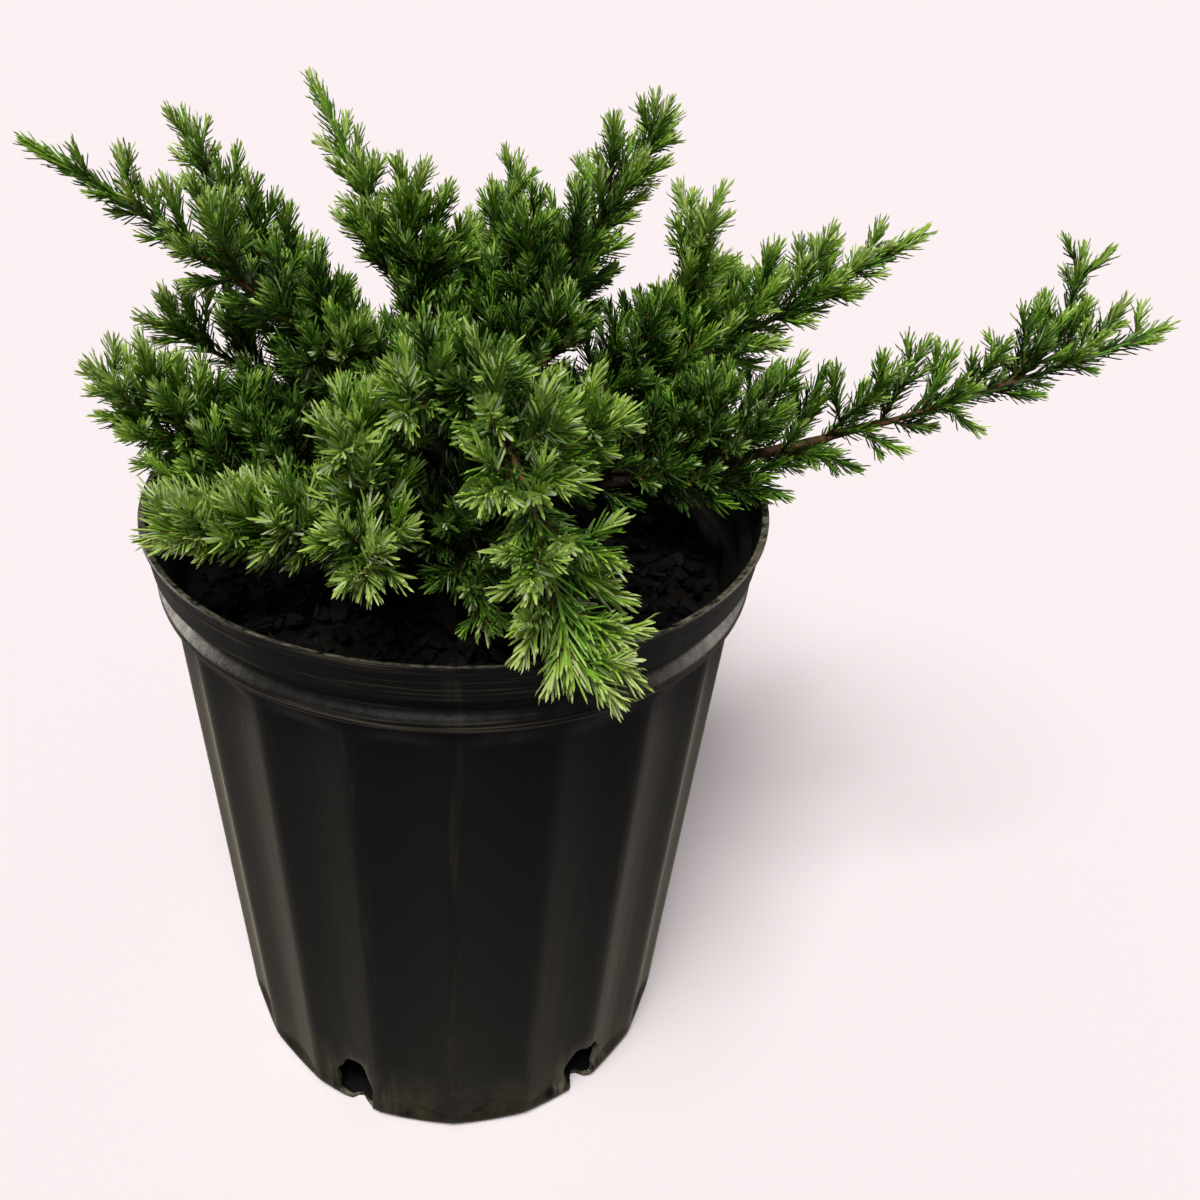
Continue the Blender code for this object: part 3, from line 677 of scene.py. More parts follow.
def body_radius(height):
    """Radius of the flutes' arrises at a height: a straight taper."""
    top = POT_HEIGHT - BAND_HEIGHT - GROOVE_HEIGHT - BEAD_HEIGHT
    share = (height - FOOT_ROUND) / (top - FOOT_ROUND)
    return BODY_FOOT_RADIUS + (BODY_TOP_RADIUS - BODY_FOOT_RADIUS) * share


def clear_of_pot(points):
    """True for points outside the pot or above its lip, or inside it and above the growing mix."""
    radius = np.hypot(points[..., 0], points[..., 1])
    outside = (points[..., 2] > POT_HEIGHT + POT_ROOM) | (radius > LIP_RADIUS + POT_ROOM)
    inside = radius < body_radius(SOIL_HIGH.z) - WALL_ROOM
    return outside | (inside & (points[..., 2] > SOIL_HIGH.z + POT_ROOM))


def clear_of_gaps(points, sky_only):
    """True for points that leave the crown's gaps open, seen from the camera, or only the sky's."""
    dip = math.radians(CAMERA_DIP)
    forward = np.array((0.0, math.cos(dip), -math.sin(dip)))
    above = np.array((0.0, math.sin(dip), math.cos(dip)))
    away = points - CAMERA_PLACE
    depth = away @ forward
    focus = PICTURE_SIDE * CAMERA_LENS / CAMERA_SENSOR
    x = PICTURE_SIDE * (0.5 - CAMERA_SHIFT[0]) + focus * away[..., 0] / depth
    y = PICTURE_SIDE * (0.5 + CAMERA_SHIFT[1]) - focus * (away @ above) / depth
    clear = np.ones(depth.shape, bool)
    for gap in GAPS.values():
        if sky_only and gap.depth < SKY_DEPTH:
            continue
        clear &= (np.hypot(x - gap.x, y - gap.y) > gap.radius) | (depth > gap.depth)
    return clear


class Room:
    """Tells whether a sprig keeps to the crown's reach, clear of the pot and other masses' stems."""

    def __init__(self, stems, twigs):
        limbs = list(stems.items()) + [(twig.mass, stem) for twig, stem in twigs]
        self.owners = [name for name, _ in limbs for _ in range(STEM_SAMPLES)]
        self.tree = KDTree(len(self.owners))
        shares = np.linspace(0.0, 1.0, STEM_SAMPLES)
        for index, place in enumerate(np.concatenate([stem.at(shares) for _, stem in limbs])):
            self.tree.insert(place, index)
        self.tree.balance()

    def takes(self, name, stem, inner):
        """True where the sprig's outer half has that room; an inner one may stand in the hollows."""
        outer = stem.points[len(stem.points) // 2:]
        inside = (outer > CROWN_LOW) & (outer < CROWN_HIGH)
        if not inside.all() or not clear_of_pot(outer).all():
            return False
        if not clear_of_gaps(stem.points[1:], inner).all():
            return False
        for point in outer:
            _, index, distance = self.tree.find(Vector(point))
            if self.owners[index] != name and distance < STEM_ROOM:
                return False
        return True


def arc_stem(start, aim, along, length, radius):
    """A short twig that leaves along aim and bends by t squared up and towards its parent's tip."""
    share = np.linspace(0.0, 1.0, SPRIG_STEPS)[:, None]
    bend = unit(along + np.array((0.0, 0.0, 1.0))) * SPRIG_BEND
    return Stem(start + length * (aim * share + bend * share ** 2), radius, SPRIG_TAPER * radius)


def set_sprigs(name, parent, start, sizes, order, dice, room):
    """Sprigs round a stem by the golden angle, from the last stretch of bare bough to near its tip,
    and shorter towards both; one that has no room is tried on the other sides and then at smaller
    sizes, or left out."""
    grown_sprigs = []
    place = INNER_START * start + sizes.first / parent.length
    turn = dice.uniform(0.0, 360.0)
    while place < 1.0 - sizes.last / parent.length:
        along = parent.tangent(place)
        level = unit(np.cross(along, (0.0, 0.0, 1.0)))
        above = np.cross(level, along)
        turn += GOLDEN_ANGLE
        open_angle = math.radians(SPRIG_ANGLE + dice.uniform(-ANGLE_PLAY, ANGLE_PLAY))
        grown = max(0.0, (place - start) / (1.0 - start))
        inner = max(0.0, 1.0 - place / start) / (1.0 - INNER_START) if start else 0.0
        play = dice.uniform(1.0 - SIZE_PLAY, 1.0 + SIZE_PLAY)
        reach = sizes.length * (1.0 - sizes.shrink * grown) * (1.0 - (1.0 - INNER_SHARE) * inner) * play
        tip_share = TIP_SHARE - TIP_SLIM * sizes.shrink
        reach = min(reach, TIP_REACH + tip_share * (1.0 - place) * parent.length)
        for share, side_step in SPRIG_TRIES:
            side = math.radians(turn + side_step)
            share *= 1.0 + UPPER_SHARE * math.sin(side)
            outward = level * math.cos(side) + above * math.sin(side)
            aim = along * math.cos(open_angle) + outward * math.sin(open_angle)
            lift = sizes.upright * (0.25 + 0.75 * math.sin(side)) * (1.0 - 0.8 * grown ** 2)
            aim = unit(aim + np.array((0.0, 0.0, lift)))
            sprig = arc_stem(parent.at(place), aim, along, share * reach, sizes.radius)
            if room.takes(name, sprig, place < start):
                grown_sprigs.append(Sprig(sprig, grown, order))
                break
        play = dice.uniform(1.0 - SIZE_PLAY, 1.0 + SIZE_PLAY)
        step = INNER_STEP if place < start else 1.0
        place += step * sizes.spacing * play / parent.length
    return grown_sprigs


def grow_mass(name, stem, start, look, settings, room):
    """Sprigs of a mass's stem, and finer sprigs on the longer of those; a slim one has a bare tip."""
    full, slim, step, upright = look
    dice = random.Random(name)
    last = TIP_BARE + TIP_BARE_SLIM * max(0.0, slim - 0.5)
    sizes = SprigSizes(step * settings.sprig_spacing, full * settings.sprig_length, slim, 0.0, last,
                       SPRIG_RADIUS, upright)
    first = set_sprigs(name, stem, start, sizes, 1, dice, room)
    finer = []
    for sprig in first:
        if sprig.stem.length > settings.branching_length:
            reach = FINER_SHARE * sprig.stem.length
            sizes = SprigSizes(settings.finer_spacing, reach, FINER_SHRINK, FINER_FIRST, FINER_LAST,
                               FINER_RADIUS, FINER_UPRIGHT)
            for twig in set_sprigs(name, sprig.stem, 0.0, sizes, 2, dice, room):
                finer.append(Sprig(twig.stem, sprig.grown, 2))
    return first + finer


def plan_crown(settings):
    """Each mass's name, leafy stem, longer twigs and sprigs, in the order of the shoots."""
    stems, planned = plan_stems()
    room = Room(stems, planned)
    crown = []
    for name, shoot in SHOOTS.items():
        twigs = [stem for twig, stem in planned if twig.mass == name]
        look = (shoot.full, shoot.slim, shoot.step, shoot.upright)
        sprigs = grow_mass(name, stems[name], shoot.bare, look, settings, room)
        for twig in twigs:
            sprigs += grow_mass(name, twig, TWIG_BARE, TWIG_LOOK, settings, room)
        crown.append((name, stems[name], twigs, sprigs))
    return crown


# ---------------------------------------------------------------- needles

def needle_patch(roots, tangents, outwards, opens, lengths, widths, tones, pale):
    """Needles as keeled blades, three points a ring and one at the tip.

    Each leaves its stem at its opening angle and bends forward by t squared:
    point(t) = root + length (out t + forward t^2); its half width and keel shrink to the tip.
    """
    sides = np.cross(tangents, outwards)
    opened = opens[:, None]
    out = tangents * np.cos(opened) + outwards * np.sin(opened)
    upper = tangents * np.sin(opened) - outwards * np.cos(opened)
    rings = []
    for place, share in NEEDLE_RINGS:
        middle = roots + lengths[:, None] * (out * place + upper * NEEDLE_BEND * place ** 2)
        half = sides * (0.5 * share * widths)[:, None]
        keel = upper * (NEEDLE_KEEL * share * widths)[:, None]
        rings += [middle - half, middle - keel, middle + half]
    tip = roots + lengths[:, None] * (out + upper * NEEDLE_BEND)
    points = np.stack(rings + [tip], axis=1)
    each = 3 * len(NEEDLE_RINGS) + 1
    base = (np.arange(len(roots)) * each)[:, None]
    quads, quad_upper = [], []
    for ring in range(len(NEEDLE_RINGS) - 1):
        for corner in range(3):
            after = (corner + 1) % 3
            low, high = 3 * ring, 3 * ring + 3
            quads.append((low + corner, low + after, high + after, high + corner))
            quad_upper.append(corner == 2)
    last = 3 * (len(NEEDLE_RINGS) - 1)
    tris = [(last + corner, last + (corner + 1) % 3, each - 1) for corner in range(3)]
    tris.append((2, 1, 0))
    quad_upper = np.array(quad_upper)
    band = np.where(tones <= BAND_FROM_TONE, OLD_BAND, YOUNG_BAND)
    # Pale upper faces: thick wax, and painted highlight
    band[pale & (tones > 1)] = PALE_BAND
    quad_slots = np.where(quad_upper[None, :], band[:, None], tones[:, None])
    # Painted highlight in part: each needle's tip one tone paler than its blade
    tip_tones = np.minimum(tones + 1, len(TONES) - 1)
    tri_slots = np.stack([tip_tones, tip_tones, tip_tones, tones], axis=1)
    return Patch(
        points.reshape(-1, 3),
        (base[:, None] + np.array(quads)).reshape(-1, 4),
        (base[:, None] + np.array(tris)).reshape(-1, 3),
        quad_slots.ravel(),
        tri_slots.ravel(),
    )


def whorls(stem, start, end, brush, tone, dice):
    """Whorls of three needles up a stem, each turned 60 degrees on the last.

    They stand wide, short and dark at the foot, the dark being older needles and painted shade, crowd
    towards the tip, and close up round the bud, where they are pale.
    """
    count = max(4, int((end - start) * stem.length / brush.spacing))
    grown = np.repeat(np.linspace(0.0, 1.0, count) ** CROWDING, 3)
    shares = start + (end - start) * grown
    tangents = stem.tangent(shares)
    side, up = side_frames(tangents)
    turn = np.radians(60.0 * np.repeat(np.arange(count), 3) + 120.0 * np.tile(np.arange(3), count))
    turn = turn + dice.uniform(0.0, math.tau) + dice.normal(0.0, TURN_PLAY, 3 * count)
    outwards = side * np.cos(turn)[:, None] + up * np.sin(turn)[:, None]
    left = (end - shares) * stem.length / (brush.closing * brush.length)
    near_tip = np.clip(1.0 - left, 0.0, 1.0)
    opens = np.radians(brush.open_foot + (brush.open_tip - brush.open_foot) * near_tip ** 1.3)
    opens = np.maximum(opens + dice.normal(0.0, OPEN_PLAY, 3 * count), OPEN_LEAST)
    profile = FOOT_LENGTH + ALONG_LENGTH * np.minimum(1.0, ALONG_RUN * grown) - BUD_LENGTH * near_tip ** 2
    lengths = brush.length * profile * dice.uniform(*LENGTH_PLAY, 3 * count)
    widths = brush.width * (1.0 - 0.15 * near_tip ** 2) * dice.uniform(*WIDTH_PLAY, 3 * count)
    # Painted shade: the tone falls towards a stem's foot, and further on paler sprigs
    lift = (TIP_TONE * near_tip + ALONG_TONE * grown - FOOT_TONE) * (1.0 + TONE_SPREAD * tone)
    lift = lift + dice.normal(0.0, TONE_PLAY, 3 * count)
    tones = np.clip(np.round(tone + lift), 0, len(TONES) - 1).astype(int)
    roots = stem.at(shares) + outwards * (0.6 * stem.radius(shares))[:, None]
    kept = dice.uniform(0.0, 1.0, 3 * count) > NEEDLE_LOSS + brush.loss * (1.0 - grown) ** 0.7
    # Pale needles stand for thick wax and for painted highlight
    pale = dice.uniform(0.0, 1.0, 3 * count) < PALE_SHARE
    found = (roots, tangents, outwards, opens, lengths, widths, tones, pale)
    return [column[kept] for column in found]


def leader_end(name, stem):
    """Share of a leader's length where its wood ends, short of the reach that its needles take up."""
    return 1.0 - LEADER_ENDS.get(name, LEADER_END) / stem.length


def sprig_tone(sprig, fresh, dice):
    """Tone of one sprig, from dark inside the crown to pale on new growth outside and above; the dark
    inside is older needles and painted shade, the pale outside new growth and painted light.
    """
    height = sprig.stem.points[-1][2] - POT_HEIGHT
    reach = np.hypot(*(sprig.stem.points[-1][:2] - TRUNK_FOOT[:2]))
    # Painted shade and light: near the crown's core a sprig is dealt darker tones, away from it paler
    outer = np.clip((math.hypot(reach, 1.3 * height) - CROWN_CORE) / CROWN_SHELL, 0.0, 1.0)
    new_growth = fresh * (0.12 + 0.88 * sprig.grown ** 0.6)
    return (TONE_INSIDE + TONE_OUTSIDE * outer + TONE_FRESH * new_growth + TONE_GROWN * sprig.grown
            + dice.normal(0.0, SPRIG_TONE_PLAY))


def clothe_mass(name, stem, start, sprigs, twig_stems, settings):
    """All the needles of one mass: on its stem's leafy length, its twigs and its sprigs. They are longer
    and wider where it is fresh, stand closer where it is slim, and are shorter on short sprigs."""
    dice = np.random.default_rng(list(name.encode()))
    fresh = SHOOTS[name].fresh
    slim = max(0.25, SHOOTS[name].slim)
    size = settings.needle_length * NEEDLE_SIZES.get(name, 0.90 + 0.22 * min(1.0, fresh))
    width = settings.needle_width * (0.90 + 0.17 * min(1.0, fresh))
    leader_open = [wide + by_slim * slim + by_fresh * fresh for wide, by_slim, by_fresh in LEADER_OPEN]
    sprig_open = [wide + by_slim * slim + by_fresh * fresh for wide, by_slim, by_fresh in SPRIG_OPEN]
    leader = Brush(1.2 * settings.whorl_spacing, (1.18 - 0.36 * slim) * size, width, *leader_open,
                   LEADER_CLOSING, LEADER_LOSS)
    leaders = [(name, stem, CLAD_FROM.get(name, start))] + [("", twig, TWIG_BARE) for twig in twig_stems]
    rows = [whorls(each, first, leader_end(mass, each), leader, 2.5 + 1.4 * min(1.2, fresh), dice)
            for mass, each, first in leaders]
    for sprig in sprigs:
        grown_up = min(1.0, sprig.stem.length / SPRIG_FULL)
        length = size * (0.68 + 0.32 * grown_up) * (1.0 - 0.12 * sprig.grown)
        brush = Brush(settings.whorl_spacing, length, width, *sprig_open, SPRIG_CLOSING, SPRIG_LOSS)
        first = min(0.5, SPRIG_FOOT / sprig.stem.length)
        rows.append(whorls(sprig.stem, first, 1.0, brush, sprig_tone(sprig, fresh, dice), dice))
    arrays = [np.concatenate(column) for column in zip(*rows)]
    roots, tangents, outwards, opens, lengths, *_ = arrays
    reach = tangents * np.cos(opens)[:, None] + outwards * np.sin(opens)[:, None]
    keep = clear_of_pot(roots + reach * lengths[:, None])
    keep &= clear_of_pot(roots + reach * (0.5 * lengths)[:, None])
    return needle_patch(*(column[keep] for column in arrays))


# ---------------------------------------------------------------- bark and twigs

def bark_relief(points, sides, radius, seed):
    """Relief as a share of the radius: plates between furrows that run with the stem.

    furrows = 1 - |noise|, stretched lengthwise, less a finer cross-grained noise.
    """
    run = np.concatenate([[0.0], np.cumsum(np.linalg.norm(np.diff(points, axis=0), axis=1))])
    turn = np.arange(sides) / sides
    u, v = np.meshgrid(turn, run)
    plates, grain, knots = (lattice_noise(number * u, v / length, number, seed + after)
                            for after, (length, number) in enumerate((BARK_PLATES, BARK_GRAIN, BARK_KNOTS)))
    plates = 1.0 - 2.0 * np.abs(plates)
    height = np.minimum(BARK_DEPTH, 0.11 * radius)
    return (0.45 * plates + 0.35 * grain + 0.55 * knots) * height / radius


def trunk_patch(stem):
    """The trunk: an even taper, with a flare and buttresses at its foot that fade as exp(-(s / 0.14)^2),
    and a rounded top inside the fork."""
    share = np.linspace(-0.06, 1.0, TRUNK_RINGS)
    points = TRUNK_FOOT + TRUNK_LEAN * share[:, None]
    flare = (TRUNK_FLARE_RADIUS - TRUNK_RADIUS) * np.exp(-(np.maximum(share, 0.0) / 0.14) ** 2)
    radii = stem.radius(share) + flare
    radii[-4:] *= (0.97, 0.88, 0.70, 0.42)
    turn = math.tau * np.arange(TRUNK_SIDES) / TRUNK_SIDES
    buttress = (flare / radii)[:, None] * (0.30 * np.cos(3 * turn + 0.8) + 0.18 * np.cos(5 * turn))
    relief = bark_relief(points, TRUNK_SIDES, float(radii.mean()), TRUNK_SEED) + buttress
    return tube_patch(points, radii, TRUNK_SIDES, relief)


def bough_patch(parent, stem, place, end, seed):
    """A bough from inside its parent to the foliage, with a collar at its root that fades as
    exp(-(run / (2.2 root radii))^2)."""
    count = max(8, int(end * stem.length / BOUGH_STEP))
    share = np.linspace(0.0, end, count)
    points = np.vstack([parent.at(place), stem.at(share)])
    radii = np.concatenate([[stem.root_radius], stem.radius(share)])
    run = np.concatenate([[0.0, 0.0], np.cumsum(np.linalg.norm(np.diff(points[1:], axis=0), axis=1))])
    radii = radii * (1.0 + COLLAR_SWELL * np.exp(-(run / (COLLAR_REACH * stem.root_radius)) ** 2))
    relief = bark_relief(points, BOUGH_SIDES, float(stem.radius(0.5 * end)), seed)
    return tube_patch(points, radii, BOUGH_SIDES, relief)


def leader_patch(name, stem, start, seed):
    """The leafy length of a shoot: bark first, then green new wood near the tip."""
    count = max(12, int((1.0 - start) * stem.length / LEADER_STEP))
    share = np.linspace(start, leader_end(name, stem), count)
    points = stem.at(share)
    relief = bark_relief(points, LEADER_SIDES, float(stem.radius(0.6)), seed)
    slender = 1.0 - LEADER_SLENDER * np.minimum(1.0, (share - start) / 0.2)
    patch = tube_patch(points, stem.radius(share) * slender, LEADER_SIDES, relief)
    rows = np.repeat(np.arange(count - 1) / (count - 1), LEADER_SIDES)
    patch.quad_slots[:] = (rows > GREEN_WOOD_FROM).astype(int)
    patch.tri_slots[LEADER_SIDES:] = 1
    return patch


def sprig_patch(sprig):
    """Wood of a sprig: five sides, brown at the foot and green beyond."""
    stem = sprig.stem
    share = np.linspace(0.0, 1.0, 5)
    patch = tube_patch(stem.at(share), stem.radius(share), SPRIG_SIDES)
    patch.quad_slots[:] = np.repeat([0, 0, 1, 1], SPRIG_SIDES)
    patch.tri_slots[SPRIG_SIDES:] = 1
    return patch


# ---------------------------------------------------------------- pot

def smooth_step(values, low, high):
    """0 below low, 1 above high, 3t^2 - 2t^3 between."""
    t = np.clip((values - low) / (high - low), 0.0, 1.0)
    return t * t * (3.0 - 2.0 * t)


def steps(*spans):
    """Even steps over each span, one span after the other: its start, end and number of steps."""
    return np.concatenate([np.linspace(*span) for span in spans])


def pot_rows():
    """Radius, height and flute share of each row, from the middle of the underside to the lip."""
    band_foot = POT_HEIGHT - BAND_HEIGHT
    groove_foot = band_foot - GROOVE_HEIGHT
    bead_foot = groove_foot - BEAD_HEIGHT
    under = steps((0.006, 0.046, 8), (0.050, 0.064, 15))
    lift = UNDERSIDE_RISE * (1.0 - smooth_step(under, 0.048, 0.054))
    turn = np.linspace(0.0, 0.5 * math.pi, 7)
    round_radius = BODY_FOOT_RADIUS - FOOT_ROUND + FOOT_ROUND * np.sin(turn)
    round_height = FOOT_ROUND - FOOT_ROUND * np.cos(turn)
    wall = steps((0.0040, 0.0150, 12), (0.019, bead_foot - 0.010, 26), (bead_foot - 0.008, POT_HEIGHT, 52))
    radius = body_radius(np.minimum(wall, bead_foot))
    bead = BEAD_RADIUS + BEAD_SWELL * np.sin(math.pi * (wall - bead_foot) / BEAD_HEIGHT)
    band = BAND_RADIUS + (LIP_RADIUS - BAND_RADIUS) * (wall - band_foot) / BAND_HEIGHT
    for form, low, high in ((bead, bead_foot - 0.0012, bead_foot + 0.0010),
                            (GROOVE_RADIUS, groove_foot - 0.0022, groove_foot + 0.0012),
                            (band, band_foot - 0.0005, band_foot + 0.0009)):
        radius = radius + (form - radius) * smooth_step(wall, low, high)
    radius = radius + LIP_SWELL * np.exp(-((POT_HEIGHT - 0.0010 - wall) / 0.0010) ** 2)
    fluted = (smooth_step(wall, 0.5 * FOOT_ROUND, 2.2 * FOOT_ROUND)
              * (1.0 - smooth_step(wall, bead_foot - FLUTE_FADE, bead_foot - 0.0015)))
    radii = np.concatenate([under, round_radius, radius])
    heights = np.concatenate([lift, round_height, wall])
    shares = np.concatenate([np.zeros(len(under)), 0.35 * smooth_step(turn, 0.3, 1.6), fluted])
    return radii, heights, shares


def flute_press(angle):
    """|sin(10 angle)|, rounded at the arrises: how far a flute is pressed in, 0 to about 1."""
    return np.sqrt(np.sin(0.5 * FLUTES * angle) ** 2 + ARRIS_ROUND ** 2) - ARRIS_ROUND


def pot_patch(settings):
    """Grid over the angle and the profile's run: a circle of that radius, pressed in by
    flute depth x |sin(10 angle)| and out of round by a sine of twice and five times the angle, with the
    drain holes left open and their rims drawn to a torn ellipse, 1 plus sines of 3 and 7 turns."""
    radii, heights, fluted = pot_rows()
    run = np.concatenate([[0.0], np.cumsum(np.hypot(np.diff(radii), np.diff(heights)))])
    corner = np.interp(BODY_FOOT_RADIUS, radii[:40], run[:40])
    angle, place = np.meshgrid(math.tau * np.arange(POT_COLUMNS) / POT_COLUMNS, run)
    quads = grid_quads(len(run), POT_COLUMNS)
    holes = math.tau / DRAIN_HOLES
    from_hole = (angle - DRAIN_FIRST_ANGLE + 0.5 * holes) % holes - 0.5 * holes
    number = np.round((angle - DRAIN_FIRST_ANGLE - from_hole) / holes)
    across = from_hole * BODY_FOOT_RADIUS / DRAIN_WIDTH
    up = (place - corner - DRAIN_CENTRE) / DRAIN_RISE
    away = np.hypot(across, up).ravel()
    gone = away[quads].mean(axis=1) < 1.0
    rim = np.intersect1d(quads[gone].ravel(), quads[~gone].ravel())
    bearing = np.arctan2(up.ravel(), across.ravel())[rim]
    torn = 1.0 + 0.07 * np.sin(3.0 * bearing + 2.1 * number.ravel()[rim]) + 0.05 * np.sin(7.0 * bearing)
    pull = torn / away[rim]
    flat_angle, flat_place = angle.ravel().copy(), place.ravel().copy()
    flat_angle[rim] += from_hole.ravel()[rim] * (pull - 1.0)
    flat_place[rim] += (flat_place[rim] - corner - DRAIN_CENTRE) * (pull - 1.0)
    radius = np.interp(flat_place, run, radii)
    height = np.interp(flat_place, run, heights)
    radius = radius - settings.flute_depth * np.interp(flat_place, run, fluted) * flute_press(flat_angle)
    give = POT_GIVE * (height / POT_HEIGHT) ** 2
    radius = radius + give * (np.sin(2.0 * flat_angle + 2.0) + 0.4 * np.sin(5.0 * flat_angle + 0.5))
    points = np.stack([radius * np.cos(flat_angle), radius * np.sin(flat_angle), height], axis=-1)
    points = np.vstack([points, (0.0, 0.0, UNDERSIDE_RISE)])
    quads = quads[~gone]
    tris = ring_fan(np.arange(POT_COLUMNS), len(points) - 1, False)
    used, renumbered = np.unique(np.concatenate([quads.ravel(), tris.ravel()]), return_inverse=True)
    quads = renumbered[:quads.size].reshape(-1, 4)
    tris = renumbered[quads.size:].reshape(-1, 3)
    return plain_patch(points[used], quads, tris)


# ---------------------------------------------------------------- growing mix

def mix_patch(pot):
    """Polar grid that fills the flutes: the crown of the mix falls with radius squared, plus lumps,
    crumbs and grains of noise, over a side and a floor that stay inside the pot."""
    angle = math.tau * np.arange(POT_COLUMNS) / POT_COLUMNS
    inset = 1.05 * pot.wall + MIX_GAP + pot.flute_depth * flute_press(angle)
    rim = body_radius(SOIL_HIGH.z) - inset
    ring = np.linspace(0.0, 1.0, MIX_RINGS)[1:, None]
    share = ring + 0.0 * angle
    x = ring * rim * np.cos(angle)
    y = ring * rim * np.sin(angle)
    height = MIX_EDGE + (MIX_CROWN - MIX_EDGE) * (1.0 - share ** 2)
    u, v = x + 0.1, y + 0.1
    for spacing, rise, repeat, seed in MIX_NOISES:
        height = height + rise * lattice_noise(u / spacing, v / spacing, repeat, seed)
    top = np.stack([x, y, height], axis=-1)
    waist = body_radius(MIX_WAIST) - inset
    lower = top[-1].copy()
    lower[:, :2] *= (waist / rim)[:, None]
    lower[:, 2] = MIX_WAIST
    foot = lower.copy()
    foot[:, :2] *= ((BODY_FOOT_RADIUS - MIX_INSET) / waist)[:, None]
    foot[:, 2] = MIX_FLOOR
    rings = np.concatenate([foot[None], lower[None], top[::-1]])
    return closed_rings(rings, (0.0, 0.0, MIX_FLOOR), (0.0, 0.0, MIX_CROWN))


def chip_patch(settings):
    """Chips of bark on the mix: flat six-sided slabs with worked-in corners, laid at random."""
    dice = np.random.default_rng(CHIP_SEED)
    count = settings.chip_count
    spread = np.sqrt(dice.uniform(0.02, 1.0, count)) * (body_radius(SOIL_HIGH.z) - MIX_INSET)
    turn = dice.uniform(0.0, math.tau, count)
    fall = MIX_CROWN - (MIX_CROWN - MIX_EDGE) * (spread / body_radius(SOIL_HIGH.z)) ** 2
    centres = np.stack([spread * np.cos(turn), spread * np.sin(turn),
                        fall + dice.uniform(*CHIP_LIFT, count)], axis=-1)
    sizes = dice.lognormal(math.log(CHIP_SIZE), CHIP_SPREAD, count).clip(*CHIP_LIMITS)
    axes = unit(dice.normal(0.0, 1.0, (count, 3)) * (1.0, 1.0, 0.45))
    across = unit(np.cross(axes, dice.normal(0.0, 1.0, (count, 3)) + (0.0, 0.0, 2.5)))
    thick = np.cross(axes, across)
    ring = math.tau * np.arange(CHIP_CORNERS) / CHIP_CORNERS
    swell = dice.uniform(0.62, 1.15, (count, CHIP_CORNERS))
    long_side = (sizes[:, None] * swell * np.cos(ring))[..., None] * axes[:, None]
    short_side = (CHIP_WIDTH * sizes[:, None] * swell * np.sin(ring))[..., None] * across[:, None]
    half = (dice.uniform(*CHIP_THICKNESS, count) * sizes)[:, None, None] * thick[:, None]
    outline = centres[:, None] + long_side + short_side
    points = np.concatenate([outline - half, outline + 0.8 * half], axis=1)
    base = (np.arange(count) * 2 * CHIP_CORNERS)[:, None, None]
    walls = [(i, (i + 1) % 6, 6 + (i + 1) % 6, 6 + i) for i in range(CHIP_CORNERS)]
    tops = [(6, 7, 8, 9), (6, 9, 10, 11), (3, 2, 1, 0), (5, 4, 3, 0)]
    faces = walls + tops
    quads = (base + np.array(faces)).reshape(-1, 4)
    slots = np.repeat(dice.choice(len(CHIP_SHARES), count, p=CHIP_SHARES), len(faces))
    return Patch(points.reshape(-1, 3), quads, np.zeros((0, 3), int), slots, np.zeros(0, int))


# ---------------------------------------------------------------- materials

MULTIPLY = {"operation": "MULTIPLY"}
COLOURS = {"data_type": "RGBA"}

# Mottled finishes: the tints of a settings group by where on the noise each is reached, noise scale
# per metre, roughness, depth of relief in metres, and specular level
Mottle = namedtuple("Mottle", "tints scale roughness relief specular")

MOTTLES = {
    # Lip and drain holes, trimmed and torn: paler and shinier where the plastic was drawn out
    "sheared_polyolefin_edge": Mottle({"plastic": 0.38, "torn": 0.74}, 320.0, 0.30, 0.0003, 0.5),
    # Inside of the wall: nearly black and dull, darker than the outside as painted shade inside the pot
    "inner_wall_with_painted_shade": Mottle({"painted_inner_shade": 0.3, "plastic": 0.8}, 90.0, 0.62, 0.0002, 0.2),
    # Damp peat and composted bark: very dark and matt, darker still as painted shade inside the pot, crumbs
    # of one to two millimetres
    "damp_peat_and_bark": Mottle({"dark": 0.30, "brown": 0.72}, 620.0, 0.88, 0.0004, 0.12),
    # Chips of conifer bark, shredded: damp, part dry, and dried out, all fibrous and all nearly black,
    # darkened as painted shade inside the pot
    "chip_damp": Mottle({"dark": 0.30, "brown": 0.75}, 900.0, 0.80, 0.0003, 0.12),
    "chip_bark": Mottle({"dark": 0.25, "brown": 0.70}, 900.0, 0.80, 0.0003, 0.12),
    "chip_dry": Mottle({"brown": 0.30, "tan": 0.80}, 900.0, 0.80, 0.0003, 0.12),
    # Thin scaly bark: furrows dark, plates red-brown, edges weathered grey, all darkened as painted shade
    # inside the crown
    "scaly_red_brown_bark": Mottle({"furrow": 0.34, "plate": 0.52, "weathered": 0.74}, 700.0, 0.82,
                                   0.0004, 0.3),
    # Smooth young bark, orange-brown and a little shinier
    "young_twig_bark": Mottle({"plate": 0.3, "twig": 0.7}, 600.0, 0.7, 0.0002, 0.3),
    # Green wood of this year, still soft, browning at its foot
    "green_new_wood": Mottle({"plate": 0.3, "new_wood": 0.6}, 500.0, 0.6, 0.0002, 0.3),
}


